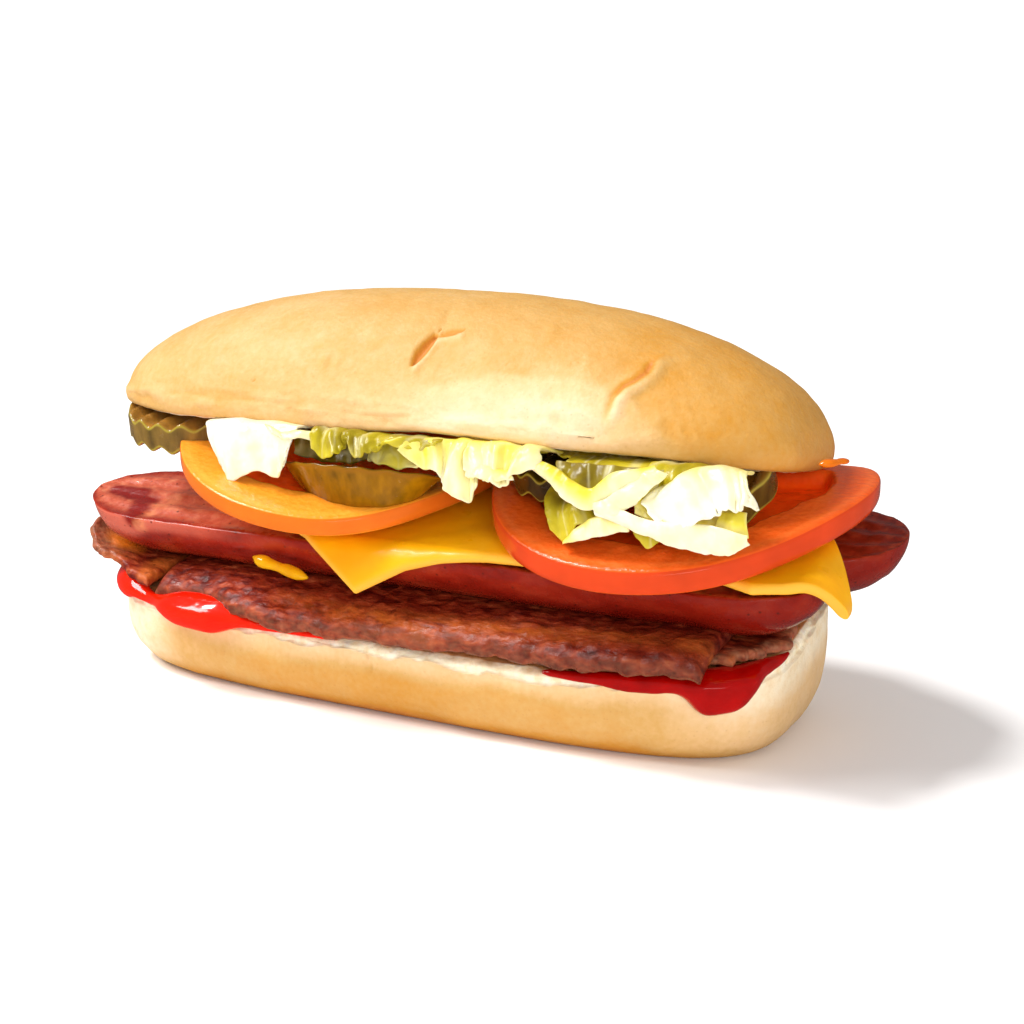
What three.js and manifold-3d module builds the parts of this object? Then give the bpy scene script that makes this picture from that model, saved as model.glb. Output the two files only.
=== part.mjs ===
// Bacon cheese hot dog: a soft bun cut in two, bacon strips, a frankfurter split lengthwise, two cheese
// slices, two tomato rings, crinkle-cut pickle slices and lettuce, with sauce run out over the rim.
// Millimetres, +Z up. The origin is the centre of the flat face that the bun rests on, +X runs along the
// bun and +Y points to the back. The whole filling leans to the front, so that each layer shows.
import * as THREE from "three";
import { mergeVertices } from "three/addons/utils/BufferGeometryUtils.js";
import Module from "manifold-3d";

const wasm = await Module();
wasm.setup();

const { degToRad, lerp, clamp, smoothstep } = THREE.MathUtils;
const TAU = Math.PI * 2;

// ---- driving dimensions ----
const GAP = 0.35; // clear space kept between neighbours

const BUN_LENGTH = 165;
const BUN_WIDTH = 68;
const BUN_PLAN_POWER = 3.7; // blunt ends, nearly straight sides
const BUN_FRONT_RIM = 17.5; // height of the lower half's front rim
const BUN_FOOT = 0.78; // share of the half width that rests
const LEAN = Math.tan(degToRad(12.5)); // rise of the lower cut face to the back

const CROWN_LENGTH = 165;
const CROWN_WIDTH = 63;
const CROWN_HEIGHT = 32;
const CROWN_LIP = 3.3;
const CROWN_DISH = 5.5; // how far the crumb is pressed in
const CROWN_REAR_LIFT = 2.4; // how far the filling lifts the rear rim
const CROWN_PLAN_POWER = 3.5;
const CROWN_CENTRE = new THREE.Vector3(0.2, -0.2, 56.7);
const CROWN_TILT = degToRad(-10); // the front edge is held up by the filling

const SAUSAGE_RADIUS = 13.7;
const SAUSAGE_TIP = 21; // length over which an end rounds off
const FRONT_HALF = { from: -89, to: 91, y: -16, z: 39.5, tilt: degToRad(12) };
const REAR_HALF = { from: -80, to: 98, y: 12, z: 41.6, tilt: degToRad(13) };
const SPLIT = -2.5; // where the two halves meet across the bun

const BACON_DROOP = 2.2;

const CHEESE_THICKNESS = 2.4;
const CHEESE_BEND = 4; // radius of the fold over the sausage's edge
const CHEESE_DROOP = degToRad(66);

// A ring slice sags by `sag` across the bun, `curl` lifts its right end, and `press` lowers the back
// corner on its left, where the crown comes down on it.
const TOMATO_RIGHT = {
  radius: 40, x: 52.9, y: 0, z: 50.3, thickness: 5.4, sag: 0.004, curl: 0, press: 0,
  forward: degToRad(6.8), sideways: 0, pockets: 4, turn: 0.5, wall: 0.78, depth: 3.4,
};
const TOMATO_LEFT = {
  radius: 38.5, x: -25.3, y: -4.5, z: 52.1, thickness: 4.4, sag: 0.003, curl: 0.005, press: 0.012,
  forward: degToRad(5.4), sideways: degToRad(8.7), pockets: 5, turn: 0.2, wall: 0.76, depth: 2.2,
};

const PICKLE_PITCH = 5.6; // crest to crest of the crinkle cut
const LEAF_THICKNESS = 0.9;

// ---- geometry helpers ----

// A circle's sine or cosine turned into a superellipse's.
const squared = (value, power) => Math.sign(value) * Math.abs(value) ** (2 / power);

// A flat-topped swelling, 1 at its middle.
const lobe = (x, at, width) => Math.exp(-(((x - at) / width) ** 4));

// Broken line through [x, value] pairs.
function straight(pairs, x) {
  const i = clamp(pairs.findIndex(([end]) => end >= x), 1, pairs.length - 1);
  const [[x0, v0], [x1, v1]] = [pairs[i - 1], pairs[i]];
  return lerp(v0, v1, clamp((x - x0) / (x1 - x0), 0, 1));
}

// Closed indexed geometry whose faces point out.
function closedGeometry(points, index) {
  let volume = 0;
  for (let i = 0; i < index.length; i += 3) {
    const [a, b, c] = [points[index[i]], points[index[i + 1]], points[index[i + 2]]];
    volume += a.dot(new THREE.Vector3().crossVectors(b, c));
  }
  if (volume < 0)
    for (let i = 0; i < index.length; i += 3)
      [index[i + 1], index[i + 2]] = [index[i + 2], index[i + 1]];
  return new THREE.BufferGeometry().setFromPoints(points).setIndex(index);
}

// Solid through rings of equal point counts; each end closes on the middle of its ring.
function loft(rings) {
  const count = rings[0].length;
  const points = rings.flat();
  const index = [];
  for (let r = 0; r + 1 < rings.length; r++)
    for (let i = 0; i < count; i++) {
      const a = r * count + i;
      const b = r * count + ((i + 1) % count);
      index.push(a, b, b + count, a, b + count, a + count);
    }
  for (const r of [0, rings.length - 1]) {
    const middle = new THREE.Vector3();
    for (const p of rings[r]) middle.addScaledVector(p, 1 / count);
    points.push(middle);
    for (let i = 0; i < count; i++) {
      const [a, b] = [r * count + i, r * count + ((i + 1) % count)];
      if (r === 0) index.push(b, a, points.length - 1);
      else index.push(a, b, points.length - 1);
    }
  }
  return closedGeometry(points, index);
}

// A ring of points at equal steps of angle, half a step off the axes.
const ringOf = (count, point) =>
  Array.from({ length: count }, (_, i) => point((TAU * (i + 0.5)) / count));

// Thin solid on both sides of the surface middle(u, v), with both faces split into triangles alike.
function sheet(middle, half, nu, nv) {
  const step = 1e-3;
  const face = (side) => {
    const grid = [];
    for (let j = 0; j <= nv; j++)
      for (let i = 0; i <= nu; i++) {
        const [u, v] = [i / nu, j / nv];
        const du = middle(u + step, v).sub(middle(u - step, v));
        const dv = middle(u, v + step).sub(middle(u, v - step));
        const normal = du.cross(dv).normalize();
        grid.push(middle(u, v).addScaledVector(normal, side * half(u, v)));
      }
    return grid;
  };
  const size = (nu + 1) * (nv + 1);
  const at = (i, j) => j * (nu + 1) + i;
  const index = [];
  for (let j = 0; j < nv; j++)
    for (let i = 0; i < nu; i++) {
      const [a, b, c, d] = [at(i, j), at(i + 1, j), at(i + 1, j + 1), at(i, j + 1)];
      index.push(a, b, c, a, c, d);
      index.push(a + size, c + size, b + size, a + size, d + size, c + size);
    }
  const edge = [];
  for (let i = 0; i < nu; i++) edge.push(at(i, 0));
  for (let j = 0; j < nv; j++) edge.push(at(nu, j));
  for (let i = nu; i > 0; i--) edge.push(at(i, nv));
  for (let j = nv; j > 0; j--) edge.push(at(0, j));
  edge.forEach((a, k) => {
    const b = edge[(k + 1) % edge.length];
    index.push(a, a + size, b + size, a, b + size, b);
  });
  return closedGeometry([...face(1), ...face(-1)], index);
}

// Smooth surface through two or more smooth lines: u runs along them, v from the first to the last.
function woven(lines) {
  const curves = lines.map(
    (line) => new THREE.CatmullRomCurve3(line.map((p) => new THREE.Vector3(...p)), false, "centripetal"),
  );
  const last = curves.length - 1;
  const on = (curve, u) => {
    const t = clamp(u, 0, 1);
    return u === t ? curve.getPoint(t) : curve.getPoint(t).addScaledVector(curve.getTangent(t), (u - t) * 10);
  };
  return (u, v) => {
    const rows = curves.map((curve) => on(curve, u));
    const slope = (i) => {
      const [i0, i1] = [Math.max(i - 1, 0), Math.min(i + 1, last)];
      return rows[i1].clone().sub(rows[i0]).divideScalar(i1 - i0);
    };
    const place = clamp(v, 0, 1) * last;
    const i = Math.min(Math.floor(place), last - 1);
    const w = place - i;
    return rows[i].clone().multiplyScalar(1 - 3 * w * w + 2 * w ** 3)
      .addScaledVector(rows[i + 1], 3 * w * w - 2 * w ** 3)
      .addScaledVector(slope(i), w - 2 * w * w + w ** 3)
      .addScaledVector(slope(i + 1), w ** 3 - w * w + (v - clamp(v, 0, 1)) * last);
  };
}

// ---- cutting and joining ----

function toManifold(geometry) {
  const bare = new THREE.BufferGeometry();
  bare.setAttribute("position", geometry.getAttribute("position").clone());
  bare.setIndex(geometry.index.clone());
  const merged = mergeVertices(bare, 1e-3);
  return new wasm.Manifold(
    new wasm.Mesh({
      numProp: 3,
      vertProperties: merged.attributes.position.array,
      triVerts: new Uint32Array(merged.index.array),
    }),
  );
}

function toGeometry(manifold) {
  const mesh = manifold.getMesh();
  return new THREE.BufferGeometry()
    .setAttribute("position", new THREE.BufferAttribute(mesh.vertProperties, 3))
    .setIndex(new THREE.BufferAttribute(mesh.triVerts, 1));
}

// The same solid with its surface moved out by the gap.
function grown(geometry) {
  const copy = geometry.clone();
  copy.deleteAttribute("normal");
  const merged = mergeVertices(copy, 1e-3);
  merged.computeVertexNormals();
  const { position, normal } = merged.attributes;
  for (let i = 0; i < position.count; i++)
    position.setXYZ(
      i,
      position.getX(i) + GAP * normal.getX(i),
      position.getY(i) + GAP * normal.getY(i),
      position.getZ(i) + GAP * normal.getZ(i),
    );
  return merged;
}

// Largest body of a solid after the neighbours it presses on, grown by the gap, are taken away.
function clearOf(geometry, neighbours) {
  let solid = toManifold(geometry);
  for (const neighbour of neighbours) {
    if (solid.intersect(toManifold(neighbour)).volume() < 1e-3) continue;
    solid = solid.subtract(toManifold(grown(neighbour)));
  }
  const bodies = solid.decompose().sort((a, b) => b.volume() - a.volume());
  return toGeometry(bodies[0]);
}

function joined(...geometries) {
  return toGeometry(geometries.map(toManifold).reduce((sum, solid) => sum.add(solid)));
}

// ---- lower half of the bun ----

const cutHeight = (y) => BUN_FRONT_RIM + LEAN * (y + BUN_WIDTH / 2);

// Point of the lower half's plan at angle t, drawn in by inset.
function bunPlan(t, inset = 0) {
  return [
    (BUN_LENGTH / 2 - inset) * squared(Math.cos(t), BUN_PLAN_POWER),
    (BUN_WIDTH / 2 - inset) * squared(Math.sin(t), BUN_PLAN_POWER),
  ];
}

// The torn rim lies up to 1.4 mm below the cut face.
const rimTear = (t) => 0.7 + 0.45 * Math.sin(3 * t + 1) + 0.25 * Math.sin(7 * t);

function bunBottom() {
  const around = 44;
  const footInset = (BUN_WIDTH / 2) * (1 - BUN_FOOT);
  const bulge = 0.6; // share of the height over which the wall swells to its full width
  const wall = (k) =>
    ringOf(around, (t) => {
      const inset = footInset * (1 - Math.sqrt(1 - (1 - Math.min(k / bulge, 1)) ** 2));
      const [x, y] = bunPlan(t, inset);
      return new THREE.Vector3(x, y, k * (cutHeight(y) - rimTear(t)));
    });
  const cutFace = (inset, drop) =>
    ringOf(around, (t) => {
      const [x, y] = bunPlan(t, inset);
      return new THREE.Vector3(x, y, cutHeight(y) - drop * rimTear(t));
    });
  return loft([
    ...[0, 0.08, 0.22, 0.44, 0.7, 0.92].map(wall),
    cutFace(0.4, 1),
    cutFace(2.4, 0.2),
    cutFace(16, 0),
  ]);
}

// ---- crown of the bun ----

const crownPlace = new THREE.Matrix4().makeRotationX(CROWN_TILT).setPosition(CROWN_CENTRE);

// Height of the crust above the rim plane, at shares u and v of the half length and half width.
function crownHeight(u, v) {
  const lengthwise = Math.max(0, 1 - Math.abs(u) ** 2.2) ** (1 / 2.2);
  const crosswise = Math.max(0, 1 - Math.abs(v) ** 1.93) ** (1 / 1.93);
  return CROWN_LIP + (CROWN_HEIGHT - CROWN_LIP) * lengthwise * crosswise;
}

// The rim waves gently, and the filling lifts it at the back.
const crownRim = (x, y) =>
  0.6 * Math.sin(x / 19 + 0.6) +
  0.3 * Math.sin(x / 7.3) +
  CROWN_REAR_LIFT * smoothstep(y, 0, CROWN_WIDTH / 2);

function bunTop() {
  const around = 40;
  const plan = (share, t) => [
    share * (CROWN_LENGTH / 2) * squared(Math.cos(t), CROWN_PLAN_POWER),
    share * (CROWN_WIDTH / 2) * squared(Math.sin(t), CROWN_PLAN_POWER),
  ];
  const under = (share, height) =>
    ringOf(around, (t) => {
      const [x, y] = plan(share, t);
      return new THREE.Vector3(x, y, height + crownRim(x, y)).applyMatrix4(crownPlace);
    });
  const over = (share) =>
    ringOf(around, (t) => {
      const [x, y] = plan(share, t);
      const u = x / (CROWN_LENGTH / 2);
      const narrow = Math.max(1e-6, 1 - Math.abs(u) ** CROWN_PLAN_POWER) ** (1 / CROWN_PLAN_POWER);
      const v = clamp(y / ((CROWN_WIDTH / 2) * narrow), -1, 1);
      return new THREE.Vector3(x, y, crownHeight(u, v)).applyMatrix4(crownPlace);
    });
  const dish = (share) => under(share, CROWN_DISH * (1 - share ** 4));
  const dome = Array.from({ length: 9 }, (_, k) => over(Math.cos((Math.PI / 2) * (k / 9.4) ** 1.15)));
  return loft([dish(0.3), dish(0.7), under(0.955, 0.2), under(0.99, 0.5), ...dome]);
}

// ---- sauce ----

// Angles from t0 to t1 at which the steps along the lower half's rim are equally long.
function evenAngles(t0, t1, steps) {
  const samples = 20000;
  const runs = [0];
  let before = bunPlan(t0);
  for (let i = 1; i <= samples; i++) {
    const point = bunPlan(lerp(t0, t1, i / samples));
    runs.push(runs[i - 1] + Math.hypot(point[0] - before[0], point[1] - before[1]));
    before = point;
  }
  const total = runs[samples];
  return Array.from({ length: steps + 1 }, (_, s) => {
    const i = runs.findIndex((run) => run >= (total * s) / steps - 1e-9);
    return { t: lerp(t0, t1, i / samples), run: runs[i], total };
  });
}

// Sauce along the lower half's rim, from angle t0 to t1. It hangs down by sag, stands out by fat and
// stands up by rise, each by the distance along the rim from its front middle, negative to the left.
function sauceRun(t0, t1, steps, sag, fat, rise) {
  const rings = evenAngles(t0, t1, steps).map(({ t, run, total }, s) => {
    const [x, y] = bunPlan(t, 0.4);
    const [inX, inY] = bunPlan(t, 3);
    const place = t0 > 1.5 * Math.PI ? bunPlan(t0, 0.4)[0] + run : bunPlan(t1, 0.4)[0] + run - total;
    const out = new THREE.Vector3(x - inX, y - inY, 0).normalize();
    const end = Math.max(0.03, Math.sin((Math.PI * s) / steps)) ** 0.35;
    const [depth, drop, lift] = [fat(place) * end, sag(place) * end, rise(place) * end];
    const top = new THREE.Vector3(x, y, cutHeight(y) - 0.6).addScaledVector(out, 0.4 * depth);
    return Array.from({ length: 8 }, (_, i) => {
      const [c, h] = [Math.cos((TAU * i) / 8), Math.sin((TAU * i) / 8)];
      const [full, back] = h < 0 ? [squared(c, 3.4), 0.1 * drop] : [c, 0.5 * lift];
      return top.clone().addScaledVector(out, full * depth - back * h * h)
        .add(new THREE.Vector3(0, 0, h * (h < 0 ? drop : lift)));
    });
  });
  return loft(rings);
}

const sauceLeft = () =>
  sauceRun(
    Math.PI * 1.06,
    Math.PI * 1.492,
    20,
    (r) => 0.8 + 2.8 * lobe(r, -48, 10) + 2.4 * lobe(r, -79, 9) + lobe(r, -63, 5),
    (r) => 0.9 + 2.4 * lobe(r, -48, 12) + 2 * lobe(r, -77, 10),
    (r) => 1.2 + 3 * lobe(r, -48, 11) + 3.4 * lobe(r, -77, 9),
  );

const sauceRight = () =>
  sauceRun(
    Math.PI * 1.575,
    Math.PI * 1.95,
    18,
    (r) => 1.3 + 5.6 * lobe(r, 73, 6.5) + 0.9 * lobe(r, 58, 7),
    (r) => 1.1 + 2.6 * lobe(r, 73, 8.5),
    (r) => 1.5 + 1.3 * lobe(r, 76, 11),
  );

// ---- sausage ----

// Height of a half's cut face.
const faceHeight = (half, y) => half.z + (y - half.y) * Math.tan(half.tilt);

function sausageHalf(half) {
  const ends = [0, 0.5, 2, 5, 9.5, 15, SAUSAGE_TIP];
  const xs = [
    ...ends.map((d) => half.from + d),
    ...[1, 2, 3, 4].map((i) => lerp(half.from, half.to, i / 5)),
    ...ends.map((d) => half.to - d).reverse(),
  ];
  const [c, s] = [Math.cos(half.tilt), Math.sin(half.tilt)];
  return loft(
    xs.map((x) => {
      const toEnd = Math.min(x - half.from, half.to - x);
      const near = clamp(1 - toEnd / SAUSAGE_TIP, 0, 1);
      const r = Math.max(0.5, SAUSAGE_RADIUS * Math.sqrt(Math.max(0, 1 - near ** 2.3)));
      const section = Array.from({ length: 14 }, (_, i) => {
        const a = Math.PI * (1 + i / 13);
        return [r * Math.cos(a), r * Math.sin(a)];
      });
      // the cut face is slightly hollow on both sides of a low ridge
      for (const p of [0.7, 0.35, 0, -0.35, -0.7])
        section.push([r * p, -0.05 * r * Math.sin(TAU * p) ** 2]);
      return section.map(
        ([p, q]) => new THREE.Vector3(x, half.y + p * c - q * s, half.z + p * s + q * c),
      );
    }),
  );
}

// ---- bacon ----

// Thick upper strip along the front rim, drawn in at its left end. Sauce under its right end lifts it,
// and its front edge droops over the rim.
function baconFront() {
  const [from, to, front, width, half] = [-63, 72, -35.4, 25.5, 2.3];
  const middle = (u, v) => {
    const x = lerp(from, to, u);
    const y = front + 0.6 * Math.sin(x / 12) + (5 - 4 * v) * smoothstep(-x, 30, 56) + v * width;
    const lift = 2.6 * smoothstep(x, 10, to) * (1 - 0.5 * v);
    const ripple = 0.5 * Math.sin(x / 8) * (1 - v);
    const droop = BACON_DROOP * Math.max(0, 1 - v / 0.3) ** 2;
    return new THREE.Vector3(x, y, cutHeight(y) + half + 0.9 + lift + ripple - droop);
  };
  const rounded = (u, v) => half * lerp(0.45, 1, Math.min(1, 6 * Math.min(v, 1 - v, 4 * u, 4 * (1 - u))));
  return sheet(middle, rounded, 14, 5);
}

// Left end of the lower strip: it leaves the bun and curls up beside the sausage.
function baconLeft() {
  const middle = woven([
    [[-64.5, -30, 21.5], [-73, -27.2, 23], [-80, -25.6, 25.2], [-85.5, -24, 27.5], [-89, -21, 31]],
    [[-64.5, -8, 25], [-72, -7, 26.2], [-80, -7, 27], [-86, -8, 28.5], [-90, -11, 31]],
  ]);
  const wavy = (u, v) => {
    const point = middle(u, v);
    point.z += 0.7 * Math.sin(9 * v + 5 * u) * u;
    return point;
  };
  return sheet(wavy, (u) => 1.3 - 0.5 * u, 8, 5);
}

// Right end of the lower strip: its ragged edge follows the bun's corner.
function baconRight() {
  const middle = (u, v) => {
    const t = lerp(Math.PI * 1.745, Math.PI * 2.03, u);
    const [x, y] = bunPlan(t, 0.4 + 20 * v + 0.8 * (1 - v) * Math.sin(23 * u));
    return new THREE.Vector3(x - 4 * v, y, cutHeight(y) + 2.1 + 0.8 * Math.sin(6 * u + 2 * v));
  };
  return sheet(middle, () => 1.15, 12, 4);
}

// Strip along the back of the bun.
function baconRear() {
  const middle = (u, v) => {
    const x = lerp(-70, 73, u);
    const y = 21 + 15 * v + 1.2 * Math.sin(x / 14);
    const ripple = 0.7 * (1 + Math.sin(x / 8)) * v;
    return new THREE.Vector3(x, y, cutHeight(y) + 1.9 + ripple);
  };
  return sheet(middle, () => 1.2, 14, 3);
}

// ---- cheese ----

// Level on which a cheese slice lies: the front face, a bridge over the split, then the rear face.
const faceLevel = (y) =>
  y < SPLIT
    ? faceHeight(FRONT_HALF, y)
    : Math.max(faceHeight(FRONT_HALF, SPLIT), faceHeight(REAR_HALF, y));

const FRONT_EDGE = FRONT_HALF.y - SAUSAGE_RADIUS * Math.cos(FRONT_HALF.tilt);
const REAR_EDGE = REAR_HALF.y + SAUSAGE_RADIUS * Math.cos(REAR_HALF.tilt);

// How far a length past the sausage's edge reaches out and falls.
function hang(over) {
  const turn = Math.min(over / CHEESE_BEND, CHEESE_DROOP);
  const beyond = Math.max(0, over - CHEESE_BEND * CHEESE_DROOP);
  return [
    CHEESE_BEND * Math.sin(turn) + beyond * Math.cos(CHEESE_DROOP),
    CHEESE_BEND * (1 - Math.cos(turn)) + beyond * Math.sin(CHEESE_DROOP),
  ];
}

// A slice over x = span. front and rear give how far it passes the sausage's edges, and right of
// x = bend it falls away over the sausage's end.
function cheese({ span, front, rear, bend }) {
  const middle = (u, v) => {
    const x = lerp(...span, u);
    const flat = lerp(FRONT_EDGE - straight(front, x), REAR_EDGE + straight(rear, x), v);
    const edge = clamp(flat, FRONT_EDGE, REAR_EDGE);
    const [run, fall] = hang(Math.abs(flat - edge));
    const level = faceLevel(edge) + CHEESE_THICKNESS / 2 + GAP + 0.2 - 0.1 * Math.max(0, x - bend) ** 2;
    return new THREE.Vector3(x, edge + Math.sign(flat - edge) * run, level - fall);
  };
  const melted = (u, v) => {
    const inward = Math.min(u, 1 - u, v, 1 - v);
    return (CHEESE_THICKNESS / 2) * lerp(0.45, 1, clamp(inward * 9, 0, 1));
  };
  return sheet(middle, melted, 11, 8);
}

const CHEESE_LEFT = {
  span: [-46, 38],
  front: [[-46, -21], [-25, -1], [-4.5, 12.8], [6, 6.6], [14, 4], [24, 1.8], [38, 0.8]],
  rear: [[-46, -16], [-8, -4], [8, 8], [20, 2], [38, -8]],
  bend: 60,
};
const CHEESE_RIGHT = {
  span: [46, 95.5],
  front: [[46, -14], [70, -3], [79, 0], [85, -2], [95.5, -8.5]],
  rear: [[46, -8], [60, 5], [70, -2], [84, -24], [95.5, -45]],
  bend: 87,
};

// ---- tomato ----

// Middle surface of a slice.
function tomatoMiddle(slice, x, y) {
  const [dx, dy] = [x - slice.x, y - slice.y];
  return (
    slice.z + dy * Math.tan(slice.forward) - dx * Math.tan(slice.sideways) -
    slice.sag * dy * dy - 0.006 * Math.max(0, dy - 14) ** 2 +
    slice.curl * Math.max(0, dx - 12) ** 2 -
    slice.press * Math.max(0, -dx - 10) * Math.max(0, dy + 6)
  );
}

// Seed pockets between the wall, the core and the septa.
function pocketDepth(slice, share, t) {
  const insideWall = smoothstep(slice.wall - share, 0, 0.08);
  const outsideCore = smoothstep(share, 0.2, 0.34);
  const fromSeptum = Math.abs(Math.sin((slice.pockets / 2) * (t - slice.turn))) * share;
  return slice.depth * insideWall * outsideCore * smoothstep(fromSeptum, 0.08, 0.22);
}

function tomato(slice) {
  const half = slice.thickness / 2;
  const ring = (share, level, dented = false) =>
    ringOf(30, (t) => {
      const wobble = 1 + 0.012 * Math.sin(3 * t + slice.turn) + 0.008 * Math.sin(5 * t);
      const x = slice.x + share * wobble * slice.radius * Math.cos(t);
      const y = slice.y + share * wobble * slice.radius * Math.sin(t) * Math.cos(slice.forward);
      const dent = dented ? pocketDepth(slice, share, t) : 0;
      return new THREE.Vector3(x, y, tomatoMiddle(slice, x, y) + level * half - dent);
    });
  const rings = [ring(0.3, -1), ring(0.7, -1), ring(0.97, -0.92), ring(1, -0.35), ring(1, 0.45)];
  rings.push(ring(0.975, 0.95), ring(0.82, 1));
  for (const share of [0.7, 0.54, 0.34, 0.16]) rings.push(ring(share, 1, true));
  return loft(rings);
}

// ---- pickle ----

// A crinkle-cut slice: both faces carry the same parallel waves, and the rim is plain skin. squash is
// its depth as a share of its width, wedge how much it thins from its middle to its rear, and keel the
// size of its lower face as a share of the upper one.
function pickle(shape) {
  const { radius, at, tilt, thickness, squash, wedge, keel, wave } = { ...PLAIN_SLICE, ...shape };
  const ring = (share, level) =>
    ringOf(20, (t) => {
      const reach = share * lerp(keel, 1, (level + 1) / 2);
      const [x, y] = [reach * radius * Math.cos(t), squash * reach * radius * Math.sin(t)];
      const half = thickness / 2 - wedge * reach * Math.sin(t);
      return new THREE.Vector3(x, y, level * half + wave * Math.cos((TAU * x) / PICKLE_PITCH));
    });
  const rings = [ring(0.6, -1), ring(0.97, -0.94), ring(1, -0.5)];
  rings.push(ring(1, 0.5), ring(0.97, 0.94), ring(0.6, 1));
  const place = new THREE.Matrix4()
    .makeRotationFromEuler(new THREE.Euler(...tilt.map(degToRad)))
    .setPosition(...at);
  return loft(rings).applyMatrix4(place);
}

const PLAIN_SLICE = { thickness: 6, squash: 0.94, wedge: 0, keel: 1, wave: 0.7 };
const PICKLES = {
  pickle_left: { radius: 17, at: [-61, -12.5, 57.6], tilt: [9, 2, 0] },
  // a chunk cut lengthwise, with its round side down
  pickle_middle: {
    radius: 19, at: [-9, -25.5, 49.6], tilt: [-4, -1, 0], squash: 0.6, wedge: 2.15, keel: 0.66, wave: 0.15,
  },
  pickle_right: { radius: 12.5, at: [65.5, -14.5, 55.2], tilt: [30, -4, 0] },
  pickle_inner: { radius: 14, at: [35, -11.5, 54], tilt: [8, 0, 0], thickness: 4.5 },
};

// ---- lettuce ----

// A torn leaf whose lines run across it, from its root under the crown to its free edge.
// It is arched between them and ruffled more and more towards the free edge.
function leaf({ lines, arch, ruffle, waves, phase }) {
  const flat = woven(lines);
  const [across, down] = [flat(1, 1).sub(flat(0, 1)), flat(0.5, 1).sub(flat(0.5, 0))];
  const normal = across.cross(down).normalize();
  if (normal.z + normal.y * Math.sign(lines[0][0][1]) < 0) normal.negate();
  const middle = (u, v) => {
    const wave = ruffle * (0.2 + 0.8 * v) * Math.sin(TAU * waves * u + phase);
    return flat(u, v).addScaledVector(normal, arch * Math.sin(Math.PI * clamp(v, 0, 1)) + wave);
  };
  return sheet(middle, () => LEAF_THICKNESS / 2, 10, 4);
}

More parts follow.
